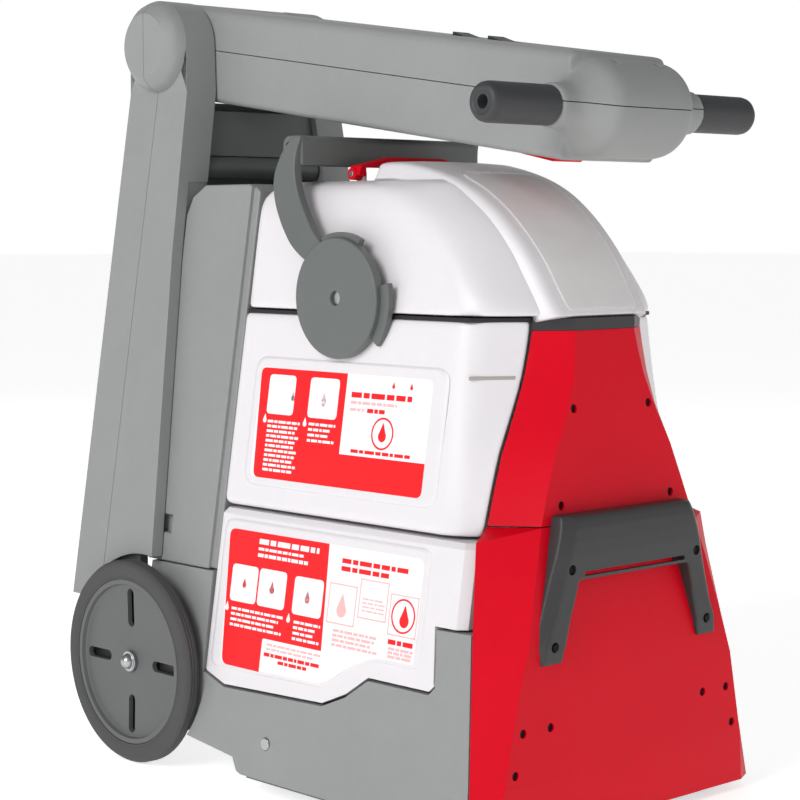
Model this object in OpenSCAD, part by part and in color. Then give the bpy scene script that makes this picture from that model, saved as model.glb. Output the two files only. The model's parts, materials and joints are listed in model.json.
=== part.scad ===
// Upright carpet cleaner: A-shaped body on two rear wheels, two stacked water
// tanks, a front suction tower, and a two-part handle folded over the top.
// +Z is up, the machine faces -Y, and X is its left side.
// The origin is the middle of its footprint on the floor.

/* [Body] */
// Width of the housings at floor level
floor_w = 330; // [275:5:400]
// Inward lean of each side for each millimetre of height
side_lean = 0.155; // [0.14:0.005:0.16]
// Wall thickness of the moulded housings
wall = 3; // [2:0.5:4]
// Gap left between neighbouring mouldings
seam = 1.5; // [1:0.25:2]
// Height of the underside of the base
base_bottom_z = 16; // [14:1:18]
// Height of the top of the base behind the tanks
base_top_z = 172; // [165:1:180]
// Height of the joint between the two tanks
tank_split_z = 227; // [220:1:236]
// Height of the rim between the dirty water tank and its lid
rim_z = 390; // [385:1:396]
// Height of the flat top of the lid
lid_top_z = 495; // [490:1:498]
// Distance of the tanks' back face behind the body's middle line
tank_rear_y = 75; // [72:1:78]
// Wall thickness of the water tanks
tank_wall = 2.5; // [2:0.25:3.5]

/* [Wheels] */
// Diameter of a rear wheel
wheel_d = 174; // [145:1:208]
// Width of a rear wheel
wheel_w = 15; // [13:1:17]
// Radius of the steel axle
axle_r = 6; // [5:0.5:7.5]
// Radial clearance of a turning fit
run_fit = 0.05; // [0.03:0.01:0.08]
// Radius of a front roller
roller_r = 11; // [9:0.5:12]

/* [Handle] */
// Height of the fold axis of the handle
fold_z = 616; // [600:1:640]
// Radius of the fold hub
hub_r = 40; // [36:1:44]
// Thickness of each arm of the lower handle
arm_t = 32; // [28:1:36]
// Distance that the arms stand out beyond the housings
arm_proud = 12; // [10:1:16]
// Height of the folding beam
beam_h = 81; // [74:1:88]
// Length of the beam from the fold axis to the tee bar
beam_len = 466; // [450:1:470]
// Droop of the folded beam, in degrees
beam_droop = 8.3; // [7.8:0.1:8.6]
// Radius of the tee barrel
barrel_r = 37; // [34:1:38]
// Radius of a rubber grip
grip_r = 15; // [13:0.5:17]
// Half length of the tee bar across both grips
tee_half = 149; // [140:1:160]
// Radius of the steel tube inside the grips
tube_r = 9; // [7:0.5:11]

/* [Brush and motors] */
// Radius of the brush roll across its bristles
brush_r = 28; // [26:0.5:29]
// Radius of the brush roll's core
brush_core_r = 14; // [12:0.5:16]
// Radius of the brush roll's pulley
brush_pulley_r = 12; // [10:0.5:14]
// Radius of the motor's pulley
motor_pulley_r = 5; // [4.5:0.5:7]
// Radius of the vacuum motor
vac_r = 36; // [30:1:38]

/* [Bail] */
// Radius of the bail's side discs
disc_r = 48; // [44:1:50]
// Radius of the pivot stub under each disc
stub_r = 10; // [8:0.5:12]

/* [Hidden] */
$fn = 64;
soft_fn = 24;

grey = "#8b8d8c";
dark_grey = "#5f6361";
white = "#e6e3e6";
red = "#c4001f";
black = "#3a3b3d";
steel = "#b8babc";

// Half width of the body's side at height z
function hw(z) = floor_w / 2 - side_lean * z;
// Half width of the lower handle's outer face at height z
function arm_out(z) = hw(z) + arm_proud;

// Rear housing, wheels and axle
housing_rear_y = 168.6;
housing_strip_y = 81;
housing_top_z = lid_top_z - 1;
axle_y = 160;
axle_z = wheel_d / 2;
well_r = wheel_d / 2 + 3;
wheel_out_x = hw(axle_z) + 16.5;
wheel_in_x = wheel_out_x - wheel_w;
wheel_well_x = wheel_in_x - 2;
bracket_t = 19;
plate_t = 8.5;
bracket_out_x = wheel_in_x - 4;
bracket_in_x = bracket_out_x - bracket_t;
well_in_x = bracket_in_x - 2;

// Fold hub
hub_y = 214;
hub_low_z = fold_z - hub_r;
hub_out_x = arm_out(hub_low_z);
hub_in_x = hub_out_x - arm_t;
boss_r = 28;
boss_h = 16;
pin_r = 8;
arm_rear_y = hub_y + hub_r + 1;
beam_hw = hub_in_x - seam;

// Front cover outline: height, half width of the ridge, depth of the ridge
ridge = [
    [8, 146, -256], [50, 137, -261], [118, 123, -261], [150, 112, -260],
    [200, 98, -254], [246, 83.5, -247], [286, 68, -244], [318, 51, -241],
    [345, 40, -238], [366, 36, -235], [380, 34, -233]
];
ridge_floor_w = 330;
ridge_grow = (floor_w - ridge_floor_w) / 2;
function ridge_x(z) = lookup(z, [for (r = ridge) [r[0], r[1]]]) + ridge_grow;
function ridge_y(z) = lookup(z, [for (r = ridge) [r[0], r[2]]]);
// Back edge of the front cover's side faces
back_edge = [[237, 109], [263, 102], [289, 94], [314, 83], [340, 72], [366, 65], [380, 62]];
function back_x(z) = lookup(z, back_edge) + ridge_grow;
tower_back_y = -215;
cover_split_z = 237;
cover_top_z = 380;
cover_bottom_z = 8;
flare_z = tank_split_z;

// Depth of the body's front corner on its side faces at height z
function side_front_y(z) = lookup(z, [[16, -246], [52, -243], [161, -229], [227, -222]]);
post_rear_y = -193;
post_top_z = 160;
crease_y = -190;

// Brush chamber
brush_y = -168;
brush_z = brush_r + 4;
brush_half = 110;
brush_stub_r = 5;
end_plate_t = 4;
chamber_r = brush_r + 5;
pulley_x = brush_half + end_plate_t + 6;
belt_w = 9;
belt_gap = 0.4;
motor_y = -78;
motor_z = 50;
motor_r = 27;
shaft_r = 3;

// Vacuum motor
vac_y = (tank_rear_y + housing_rear_y) / 2;
vac_z = 205;
vac_h = 90;

// Lid, bail and latch
bail_y = -54;
bail_z = 402;
disc_in_x = hw(bail_z - disc_r) + 1.4;
disc_t = 6;
bar_z = lid_top_z + 13;
bar_h = 24;
bar_y0 = 5;
bar_d = 24;
strap_off = 12;
strap_t = 8;
latch_y = -17;
latch_z = lid_top_z + 9;
latch_half = 66;
latch_pin_r = 2.5;
lug_r = 4.2;
latch_d = 14;

// Beam frame: origin on the fold axis, -Y along the folded beam
beam_seam = 2;
beam_top = 38;
beam_bottom = beam_top - beam_h;
tee_barrel_half = 38;
neck_x = 62;
neck_r = 17;
grip_x = 80;
trigger_y = -378;
trigger_len = 44;
trigger_half = 16;
trigger_pin_r = 3;
switch_y = [-300, -340];
switch_half = 9;
switch_pin_r = 2.5;

// Overall depth, used to put the origin under the middle of the footprint
rear_most_y = arm_rear_y;
front_most_y = hub_y - cos(beam_droop) * beam_len - barrel_r;
mid_y = (rear_most_y + front_most_y) / 2;

module centred() { translate([0, -mid_y, 0]) children(); }
module both_sides() {
    children();
    mirror([1, 0, 0]) children();
}
// Extrudes a side outline, given as [y, z] points, between two X positions
module side_slab(points, x0, x1) {
    translate([x0, 0, 0]) rotate([90, 0, 90]) linear_extrude(x1 - x0) polygon(points);
}
// Extrudes a front outline, given as [x, z] points, between two Y positions
module front_slab(points, y0, y1) {
    translate([0, y1, 0]) rotate([90, 0, 0]) linear_extrude(y1 - y0) polygon(points);
}
module x_rod(y, z, r, x0, x1, fn = $fn) {
    translate([x0, y, z]) rotate([0, 90, 0]) cylinder(r = r, h = x1 - x0, $fn = fn);
}
module y_rod(x, z, r, y0, y1) {
    translate([x, y1, z]) rotate([90, 0, 0]) cylinder(r = r, h = y1 - y0);
}
// The leaning body between two heights, with its sides moved in by inset
module body_wedge(z0, z1, y0, y1, inset = 0) {
    a = hw(z0) - inset;
    b = hw(z1) - inset;
    front_slab([[-a, z0], [a, z0], [b, z1], [-b, z1]], y0, y1);
}
// A leaning plate on the +X side, between two offsets from the body's side
module lean_plate(z0, z1, off0, off1, y0, y1) {
    front_slab([
        [hw(z0) + off0, z0], [hw(z0) + off1, z0],
        [hw(z1) + off1, z1], [hw(z1) + off0, z1]
    ], y0, y1);
}
// A closed skin through rings of points, from the lowest ring to the highest
module loft(rings) {
    n = len(rings[0]);
    m = len(rings);
    polyhedron(
        points = [for (r = rings) each r],
        faces = concat(
            [[for (i = [0 : n - 1]) i]],
            [[for (i = [n - 1 : -1 : 0]) (m - 1) * n + i]],
            [for (k = [0 : m - 2]) for (i = [0 : n - 1])
                [k * n + i, (k + 1) * n + i, (k + 1) * n + (i + 1) % n]],
            [for (k = [0 : m - 2]) for (i = [0 : n - 1])
                [k * n + i, (k + 1) * n + (i + 1) % n, k * n + (i + 1) % n]]
        )
    );
}

// Mirrors a right-hand run of [x, y] points, listed rear to front, into a ring
function ring(run, z) = concat(
    [for (i = [len(run) - 1 : -1 : 0]) [run[i][0], run[i][1], z]],
    [for (p = run) [-p[0], p[1], z]]
);
function rounded_rear(x, y, c) = [[x - c, y], [x - 0.3 * c, y - 0.3 * c], [x, y - c]];

// ---- Base and housings ----

// Side outline of the deck that carries the clean tank, front to rear
function deck_line(drop) = [
    [post_rear_y - 5, 118 - drop], [post_rear_y + 1, 112 - drop], [-125, 112 - drop],
    [-102, 96 - drop], [-76, 85 - drop], [-38, 84 - drop], [45, 81 - drop], [71, 89 - drop]
];
module well_cut() {
    both_sides() {
        x_rod(axle_y, axle_z, well_r, wheel_well_x, floor_w);
        // Room for the handle's pivot bracket
        x_rod(axle_y, axle_z, 30, well_in_x, floor_w);
        side_slab([[axle_y - 26, axle_z + 10], [180, 156], [196, 156], [196, 50], [axle_y, 50]],
            well_in_x, floor_w);
    }
}
module base_housing() color(grey) centred() difference() {
    union() {
        intersection() {
            side_slab(concat(
                [[-246, base_bottom_z], [-243, 52], [-229, post_top_z + 1], [post_rear_y, post_top_z]],
                deck_line(0),
                [[tank_rear_y, 89], [tank_rear_y + seam, base_top_z], [housing_rear_y - 8, base_top_z],
                 [housing_rear_y - 8, 60], [150, 44], [86, 35], [24.5, 28], [18, 18],
                 [12, base_bottom_z]]
            ), -floor_w, floor_w);
            body_wedge(base_bottom_z, base_top_z, -300, 300);
        }
        x_rod(axle_y, axle_z, 20, -well_in_x, well_in_x);
        for (x = [26, 82]) translate([x, 150, 36]) cube([4, 24, 14]);
    }
    well_cut();
    // Open front between the cheeks
    translate([0, -254, 0]) body_wedge(0, 200, -30, 33, 8);
    // Room below the deck
    intersection() {
        side_slab(concat([[10, 0], [-217, 0], [-217, 108]],
            [for (p = deck_line(wall)) if (p[0] > post_rear_y) p],
            [[66, 78], [62, 74], [62, 36], [24.5, 31], [17, 21], [10, 21]]), -floor_w, floor_w);
        body_wedge(0, base_top_z, -300, 300, wall);
    }
    // Room below and behind the tanks, between the wheel wells
    side_slab([[58, 42], [145, 50], [148, 62], [148, base_top_z + 1], [tank_rear_y + 2 * wall, base_top_z + 1],
               [tank_rear_y + 2 * wall, 84], [58, 76]], -well_in_x + wall, well_in_x - wall);
    x_rod(axle_y, axle_z, axle_r + run_fit, -floor_w, floor_w);
    x_rod(166, 43, 4 + run_fit, 20, 90);
    translate([0, valve_y, 60]) cylinder(r = valve_r + 0.5, h = 40);
    // Sockets for the screw caps
    both_sides() x_rod(-15, 45, 5.2, hw(45) - 2, floor_w);
}
module underbody_pan() color(dark_grey) centred() difference() {
    union() {
        body_wedge(base_bottom_z - 3, base_bottom_z, -131, 10, 5);
        for (y = [-100, -60, -20]) translate([-120, y, base_bottom_z - 4]) cube([240, 3, 2]);
    }
    for (x = [-100, 100]) for (y = [-112, 2])
        translate([x, y, 0]) cylinder(r = 2.5, h = 40);
}
module rear_housing() color(grey) centred() difference() {
    intersection() {
        side_slab([
            [tank_rear_y + seam, base_top_z + 1], [housing_rear_y - 1, base_top_z + 1],
            [housing_rear_y, 210], [housing_rear_y, housing_top_z - 26],
            [housing_rear_y - 6, housing_top_z - 10], [housing_rear_y - 22, housing_top_z],
            [tank_rear_y + seam + 10, housing_top_z], [tank_rear_y + seam, housing_top_z - 6]
        ], -floor_w, floor_w);
        union() {
            body_wedge(base_top_z, housing_top_z + 1, housing_strip_y + 2, 300);
            body_wedge(base_top_z, housing_top_z + 1, 0, housing_strip_y + 3, 4);
        }
    }
    intersection() {
        side_slab([
            [tank_rear_y + seam + wall, 0], [housing_rear_y - wall, 0],
            [housing_rear_y - wall, housing_top_z - 30], [housing_rear_y - 26, housing_top_z - wall],
            [tank_rear_y + 14, housing_top_z - wall], [tank_rear_y + seam + wall, housing_top_z - 12]
        ], -floor_w, floor_w);
        body_wedge(0, housing_top_z, 0, 300, 2 * wall + 2);
    }
    // Catches for the upright lock
    both_sides() lean_plate(197, 212, -6, 3, 139, 162);
    well_cut();
}
// Right-hand runs of the front cover at height z
function upper_outer(z) = [[back_x(z), tower_back_y], [ridge_x(z), ridge_y(z)]];
function upper_inner(z) = [[back_x(z) - wall, tower_back_y], [ridge_x(z) - wall * 0.8, ridge_y(z) + wall]];
// Opens a run's rear end so that the inside breaks through it
function opened(run) = [run[0] + [0.1, 6], run[0], run[1]];
function flare(z) = max(0, min(1, (cover_split_z - z) / (cover_split_z - flare_z)));
function lower_back(z) = [
    back_x(z) + flare(z) * (hw(z) - back_x(z)),
    tower_back_y + flare(z) * (side_front_y(z) - seam - tower_back_y)
];
function lower_outer(z) = [lower_back(z), [ridge_x(z), ridge_y(z)]];
function lower_inner(z) = [
    lower_back(z) - [wall, 0], [ridge_x(z) - wall * 0.8, ridge_y(z) + wall]
];
// Screw places on the front cover, [x, z]
cover_screw_at = [[43, 322], [63, 251], [88.5, 90], [118, 90], [126, 60]];
cover_hole_r = 3.4;
module cover_holes() {
    both_sides() for (p = cover_screw_at)
        y_rod(p[0] + ridge_grow, p[1], cover_hole_r, -300, ridge_y(p[1]) + 10);
}
module front_cover_lower() color(red) centred() difference() {
    loft([for (z = [cover_bottom_z, 50, 118, 150, 200, flare_z, cover_split_z - 0.5])
        ring(lower_outer(z), z)]);
    loft([for (z = [cover_bottom_z - 1, 50, 118, 150, 200, flare_z, cover_split_z + 1])
        ring(opened(lower_inner(z)), z)]);
    cover_holes();
}
module front_cover_upper() color(red) centred() difference() {
    loft([for (z = [cover_split_z + 0.5, 263, 289, 318, 345, 366, cover_top_z])
        ring(upper_outer(z), z)]);
    loft([for (z = [cover_split_z - 1, 263, 289, 318, 345, 366, cover_top_z + 1])
        ring(opened(upper_inner(z)), z)]);
    cover_holes();
}
module tower_cap() color(black) centred() translate([0, 0, cover_top_z + 0.2])
    linear_extrude(rim_z - cover_top_z - 0.7) polygon([
        [back_x(380), tower_back_y], [ridge_x(380), ridge_y(380) - 0.5],
        [-ridge_x(380), ridge_y(380) - 0.5], [-back_x(380), tower_back_y],
        [6 - back_x(380), tower_back_y], [4 - ridge_x(380), ridge_y(380) + 4],
        [ridge_x(380) - 4, ridge_y(380) + 4], [back_x(380) - 6, tower_back_y]
    ]);

// Carry handle on the front cover
grip_top_z = 244;
grip_foot_z = 137;
grip_bar_z = 197;
module grip_shape() {
    front_slab([
        [-74 - ridge_grow, grip_top_z], [74 + ridge_grow, grip_top_z],
        [103 + ridge_grow, 150], [102 + ridge_grow, grip_foot_z], [79 + ridge_grow, grip_foot_z],
        [62 + ridge_grow, grip_bar_z], [-62 - ridge_grow, grip_bar_z],
        [-79 - ridge_grow, grip_foot_z], [-102 - ridge_grow, grip_foot_z], [-103 - ridge_grow, 150]
    ], -300, -200);
}
module front_carry_handle() color(black) centred() difference() {
    intersection() {
        side_slab([
            [ridge_y(grip_top_z) - 0.9, grip_top_z], [ridge_y(grip_top_z) - 9, grip_top_z],
            [ridge_y(grip_top_z) - 14, grip_top_z - 10], [-268, grip_bar_z],
            [-270, grip_foot_z], [ridge_y(grip_foot_z) - 0.3, grip_foot_z],
            [ridge_y(150) - 0.3, 150], [ridge_y(200) - 0.3, 200]
        ], -floor_w, floor_w);
        grip_shape();
    }
    // Finger room behind the bar
    side_slab([[-263, 0], [-263, 215], [-256, 234], [-200, 234], [-200, 0]],
        -58 - ridge_grow, 58 + ridge_grow);
    // Groove along the bar
    translate([-57, -280, 200]) cube([114, 14.4, 3.4]);
    both_sides() for (p = handle_screw_at)
        y_rod(p[0] + ridge_grow, p[1], cover_hole_r, -300, -200);
}
handle_screw_at = [[72, 206], [88, 150]];
module front_screws() color(black) centred() both_sides() {
    for (p = cover_screw_at) y_rod(p[0] + ridge_grow, p[1], cover_hole_r - 0.2,
        ridge_y(p[1]) + 1.5, ridge_y(p[1]) + 8);
    for (p = handle_screw_at) y_rod(p[0] + ridge_grow, p[1], cover_hole_r - 0.2,
        -265.5, ridge_y(p[1]) - 0.3);
}
module side_screw_caps() color(steel) centred() both_sides()
    x_rod(-15, 45, 5, hw(45) - 1.9, hw(45) + 1.2);

// ---- Cleaning head ----

module suction_nozzle() color(black) centred() {
    half = brush_half - 4 + ridge_grow;
    loft_half = half;
    difference() {
        union() {
            translate([-loft_half, -244, 3]) cube([2 * loft_half, 18, 46]);
            translate([-loft_half - 2, -245, 3]) cube([2 * loft_half + 4, 20, 5]);
        }
        translate([-loft_half + 3, -241, 0]) cube([2 * loft_half - 6, 12, 60]);
    }
}
// Suction duct: half width at height z
duct_line = [[49, 106], [110, 84], [180, 50], [260, 32], [rim_z, 26]];
duct_d = 18;
function duct_x(z) = lookup(z, duct_line) + (z < 100 ? ridge_grow : 0);
function duct_front(z) = max(ridge_y(z) + wall + 2, -244);
module duct_body(inset, z0, z1) {
    loft([for (z = [z0, 80, 110, 145, 180, 220, 260, 300, 345, z1])
        ring([
            [duct_x(z) - inset, duct_front(z) + duct_d - inset],
            [duct_x(z) - inset, duct_front(z) + inset]
        ], z)]);
}
module suction_duct() color(black) centred() difference() {
    duct_body(0, 49, rim_z - 1);
    duct_body(2.5, 48, rim_z);
}
module brush_cover() color(dark_grey) centred() difference() {
    union() {
        x_rod(brush_y, brush_z, chamber_r + 3, -brush_half - end_plate_t, brush_half + end_plate_t);
        translate([-brush_half - end_plate_t, brush_y - chamber_r - 3, base_bottom_z])
            cube([2 * (brush_half + end_plate_t), 2 * (chamber_r + 3), brush_z - base_bottom_z]);
    }
    x_rod(brush_y, brush_z, chamber_r, -brush_half - 1, brush_half + 1);
    translate([-brush_half - 1, brush_y - chamber_r, -1])
        cube([2 * brush_half + 2, 2 * chamber_r, brush_z + 1]);
    translate([-floor_w, brush_y - 60, -30]) cube([2 * floor_w, 120, 30 + base_bottom_z - 4]);
    x_rod(brush_y, brush_z, brush_stub_r + run_fit, -floor_w, floor_w);
}
module brush_roll() color(dark_grey) centred() {
    x_rod(brush_y, brush_z, brush_core_r, -brush_half + 1, brush_half - 1);
    x_rod(brush_y, brush_z, brush_stub_r, -brush_half - end_plate_t, pulley_x + belt_w / 2 + 2);
    x_rod(brush_y, brush_z, brush_pulley_r, pulley_x - belt_w / 2 - 1, pulley_x + belt_w / 2 + 1);
    // Tufts in a spiral, four to a turn
    for (i = [0 : 19]) {
        x = -brush_half + 8 + i * (2 * brush_half - 16) / 19;
        for (a = [0, 120, 240]) translate([x, brush_y, brush_z]) rotate([a + i * 24, 0, 0])
            translate([0, 0, brush_core_r - 1]) cylinder(r = 3.2, h = brush_r - brush_core_r + 1, $fn = 8);
    }
}
module belt_path(grow) {
    hull() {
        x_rod(brush_y, brush_z, brush_pulley_r + grow, 0, belt_w, soft_fn);
        x_rod(motor_y, motor_z, motor_pulley_r + grow, 0, belt_w, soft_fn);
    }
}
module brush_belt() color(black) centred() translate([pulley_x - belt_w / 2, 0, 0]) difference() {
    belt_path(belt_gap + 1.6);
    translate([-1, 0, 0]) scale([2, 1, 1]) belt_path(belt_gap);
}
module brush_motor() color(black) centred() difference() {
    union() {
        x_rod(motor_y, motor_z, motor_r, 10, pulley_x - belt_w);
        x_rod(motor_y, motor_z, 12, 4, 12);
        translate([20, motor_y - 20, base_bottom_z]) cube([70, 40, 12]);
    }
    x_rod(motor_y, motor_z, shaft_r + run_fit, pulley_x - belt_w - 14, floor_w);
}
module motor_pulley() color(steel) centred() {
    x_rod(motor_y, motor_z, shaft_r, pulley_x - belt_w - 12, pulley_x + belt_w / 2);
    x_rod(motor_y, motor_z, motor_pulley_r, pulley_x - belt_w / 2, pulley_x + belt_w / 2);
    x_rod(motor_y, motor_z, motor_pulley_r + 2.5, pulley_x + belt_w / 2 + 0.2, pulley_x + belt_w / 2 + 1.7);
    x_rod(motor_y, motor_z, shaft_r, pulley_x + belt_w / 2 - 0.2, pulley_x + belt_w / 2 + 1);
}
module vacuum_motor() color(steel) centred() difference() {
    union() {
        translate([0, vac_y, vac_z]) cylinder(r = vac_r, h = vac_h);
        translate([0, vac_y, vac_z + vac_h]) cylinder(r = vac_r + 2, h = 4);
        translate([-vac_r - 8, vac_y - 12, base_top_z + 1]) cube([2 * vac_r + 16, 24, vac_z - base_top_z + 6]);
    }
    translate([0, vac_y, vac_z + 30]) cylinder(r = 4 + run_fit, h = vac_h);
}
module vacuum_fan() color(steel) centred() translate([0, vac_y, vac_z + vac_h]) {
    translate([0, 0, -50]) cylinder(r = 4, h = 80);
    translate([0, 0, 6]) cylinder(r = vac_r - 2, h = 2);
    translate([0, 0, 6]) cylinder(r = 9, h = 18);
    for (a = [0 : 45 : 315]) rotate([0, 0, a]) translate([7, -1, 7]) cube([vac_r - 11, 2, 14]);
}
module pump() color(black) centred() {
    translate([-95, -44, base_bottom_z]) cube([50, 44, 38]);
    x_rod(-22, 36, 15, -50, -20);
    translate([-70, -22, base_bottom_z + 37]) cylinder(r = 6, h = 14);
}
module spray_tips() color("#b58a3c") centred() {
    translate([-96, -216, 52]) cube([192, 8, 8]);
    for (x = [-80, 0, 80]) {
        translate([x, -212, 40]) cylinder(r = 4, h = 14);
        translate([x, -212, 34]) cylinder(r = 2, h = 8);
    }
}
module release_pedal() color(black) centred() {
    x_rod(166, 43, 4, 26, 86);
    translate([32, 166, 41]) cube([48, 14, 5]);
    translate([31, 178, 40]) cube([50, 46, 7]);
}

// ---- Wheels ----

module axle() color(steel) centred()
    x_rod(axle_y, axle_z, axle_r, -wheel_out_x + 2.5, wheel_out_x - 2.5);
module axle_nuts() color(steel) centred() both_sides() {
    translate([wheel_out_x - 2.4, axle_y, axle_z]) rotate([0, 90, 0]) {
        difference() {
            union() {
                translate([0, 0, -3.4]) cylinder(r = axle_r + 3, h = 3.4);
                sphere(r = axle_r + 0.5);
            }
            translate([0, 0, -20]) cylinder(r = axle_r + 0.02, h = 20);
        }
    }
}
tyre_t = 16.5;
module wheel_tyre() {
    r = wheel_d / 2;
    translate([wheel_in_x, axle_y, axle_z]) rotate([0, 90, 0]) rotate_extrude($fn = 96) polygon([
        [r - tyre_t, 0], [r - 4, 0], [r, 4], [r, wheel_w - 6], [r - 2, wheel_w - 1],
        [r - 5, wheel_w], [r - tyre_t, wheel_w]
    ]);
}
module wheel_hub() {
    r = wheel_d / 2 - tyre_t - 0.02;
    translate([wheel_in_x, axle_y, axle_z]) rotate([0, 90, 0]) difference() {
        rotate_extrude($fn = 96) polygon([
            [axle_r + run_fit, 0], [18, 0], [18, wheel_w - 11], [r - 6, wheel_w - 10], [r - 6, 2],
            [r, 2], [r, wheel_w - 1], [r - 4, wheel_w - 1], [r - 5, wheel_w - 4], [r - 8, wheel_w - 5.5],
            [20, wheel_w - 6.5], [14, wheel_w - 6], [axle_r + run_fit, wheel_w - 6]
        ]);
        for (a = [0 : 90 : 270]) rotate([0, 0, a]) {
            translate([34, -4.5, 0]) cube([24, 9, wheel_w]);
            for (d = [34, 58]) translate([d, 0, 0]) cylinder(r = 4.5, h = wheel_w);
        }
    }
}
module wheel_tyre_left() color(black) centred() wheel_tyre();
module wheel_hub_left() color(dark_grey) centred() wheel_hub();
module wheel_tyre_right() color(black) centred() mirror([1, 0, 0]) wheel_tyre();
module wheel_hub_right() color(dark_grey) centred() mirror([1, 0, 0]) wheel_hub();

roller_y = -233;
roller_x0 = 122;
roller_w = 12;
roller_pin_r = 3;
module roller_shape() {
    translate([ridge_grow, 0, 0]) difference() {
        x_rod(roller_y, roller_r, roller_r, roller_x0, roller_x0 + roller_w);
        x_rod(roller_y, roller_r, roller_pin_r + run_fit, 0, floor_w);
    }
}
module roller_brackets() color(black) centred() both_sides() translate([ridge_grow, 0, 0]) difference() {
    union() {
        for (x = [roller_x0 - 3, roller_x0 + roller_w + 0.8])
            translate([x, roller_y - 7, roller_r - 6]) cube([2.2, 16, 36 - roller_r + 6]);
        translate([roller_x0 - 3, roller_y - 7, 33]) cube([roller_w + 6, 16, 3]);
    }
    x_rod(roller_y, roller_r, roller_pin_r, 0, floor_w);
}
module roller_pins() color(steel) centred() both_sides() translate([ridge_grow, 0, 0])
    x_rod(roller_y, roller_r, roller_pin_r, roller_x0 - 3.5, roller_x0 + roller_w + 3.5);
module roller_left() color(black) centred() roller_shape();
module roller_right() color(black) centred() mirror([1, 0, 0]) roller_shape();

// ---- Water tanks and lid ----

fit_gap = 2.5;
cap_y = -60;
cap_r = 28;
valve_y = 30;
valve_r = 10;
tank_top_z = rim_z - 3;
function clean_run(z, t) = concat(
    rounded_rear(hw(z) - t, tank_rear_y - t, 6),
    [[hw(z) - t, -213 + t], [hw(z) - 6 - t, -220 + t]]
);
function dirty_outer(z, t) = concat(
    rounded_rear(hw(z) - t, tank_rear_y - t, 6),
    [[hw(z) - t, crease_y + 0.4 * t], [back_x(z) + seam - t, tower_back_y + 1 + t]]
);
function dirty_inner(z, t) = concat(
    rounded_rear(hw(z) - t, tank_rear_y - t, 6),
    [[hw(z) - t, crease_y + 0.4 * t], [back_x(z) + seam + 3, tank_front_y + t]]
);
// Recess in the front of the dirty water tank, for the suction duct
tank_front_y = -205;
module duct_recess() {
    rows = concat([[tank_split_z - 1, back_edge[0][1]]], back_edge, [[rim_z + 1, back_edge[6][1]]]);
    front_slab(concat(
        [for (r = rows) [r[1] + ridge_grow - 6, r[0]]],
        [for (i = [len(rows) - 1 : -1 : 0]) [6 - rows[i][1] - ridge_grow, rows[i][0]]]
    ), -300, tank_front_y);
}
module clean_body(t) {
    intersection() {
        loft([for (z = [70, tank_split_z - 6 - t, tank_split_z - seam - t])
            ring(clean_run(z, t + (z > tank_split_z - 5 ? 3 : 0)), z)]);
        side_slab(concat(
            [[-222, 300], [-222, post_top_z + fit_gap + t], [post_rear_y + 2 + t, post_top_z + fit_gap + t],
             [post_rear_y - 3 + t, 120 + t]],
            deck_line(-fit_gap - t),
            [[tank_rear_y + 1, 92 + t], [tank_rear_y + 1, 300]]
        ), -floor_w, floor_w);
    }
}
module clean_tank() color(white) centred() difference() {
    union() {
        difference() {
            clean_body(0);
            clean_body(tank_wall);
        }
        translate([0, cap_y, tank_split_z - 14]) cylinder(r = cap_r + 3, h = 14 - seam - 0.2);
    }
    translate([0, cap_y, tank_split_z - 11]) cylinder(r = cap_r + 0.3, h = 20);
    translate([0, cap_y, tank_split_z - 20]) cylinder(r = cap_r - 4, h = 20);
    translate([0, valve_y, 70]) cylinder(r = valve_r + 0.3, h = 30);
}
module fill_cap() color(black) centred() translate([0, cap_y, tank_split_z - 11]) difference() {
    cylinder(r = cap_r, h = 10.4);
    difference() {
        translate([0, 0, 3]) cylinder(r = cap_r - 4, h = 10);
        translate([-cap_r, -3, 0]) cube([2 * cap_r, 6, 20]);
    }
}
module tank_valve() color(red) centred() translate([0, valve_y, 0]) {
    translate([0, 0, 70]) cylinder(r = valve_r, h = 22);
    translate([0, 0, 60]) cylinder(r = 4, h = 11);
}
module dirty_tank() color(white) centred() difference() {
    z0 = tank_split_z + seam;
    loft([for (z = [z0, z0 + 5, 255, 289, 314, 340, 366, tank_top_z])
        ring(dirty_outer(z, z == z0 ? 3 : 0), z)]);
    duct_recess();
    loft([for (z = [z0 + tank_wall, 255, 289, 314, 340, 366, tank_top_z + 1])
        ring(dirty_inner(z, tank_wall), z)]);
}
module tank_gasket() color(black) centred() difference() {
    loft([for (z = [tank_top_z, rim_z]) ring(dirty_outer(z, 1), z)]);
    duct_recess();
    loft([for (z = [tank_top_z - 1, rim_z + 1]) ring(dirty_inner(z, 5), z)]);
}

// Lid outlines against the share t of the lid's height
lid_side_front = [[0, -195], [0.14, -190], [0.36, -172], [0.65, -142], [0.86, -110], [0.96, -80], [1, -62]];
lid_band_front = [[0, -234], [0.2, -221], [0.45, -204], [0.7, -180], [0.9, -152], [1, -134]];
lid_shoulder = [[0, 0], [0.85, 0], [0.95, 4], [1, 13]];
lid_rear_round = [[0, 0], [0.8, 0], [0.93, 5], [1, 16]];
band_half = [[0, 50], [1, 62]];
band_rear_y = -45;
band_rise = 15;
band_top_front = [[0, -134], [0.5, -110], [0.85, -84], [1, -68]];
function lid_z(t) = rim_z + t * (lid_top_z - rim_z);
function lid_run(t, s) = let (
    x = hw(lid_z(t)) - lookup(t, lid_shoulder) - s,
    yr = tank_rear_y - lookup(t, lid_rear_round) - s,
    ya = lookup(t, lid_side_front) + s,
    yb = lookup(t, lid_band_front) + s,
    bx = min(lookup(t, band_half) + ridge_grow, x - 10)
) [
    [x - 8, yr], [x - 2.4, yr - 2.4], [x, yr - 8], [x, ya],
    [min(x - 3, bx + 14), 0.45 * ya + 0.55 * yb], [bx, yb], [bx / 2, yb - 3]
];
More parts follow.
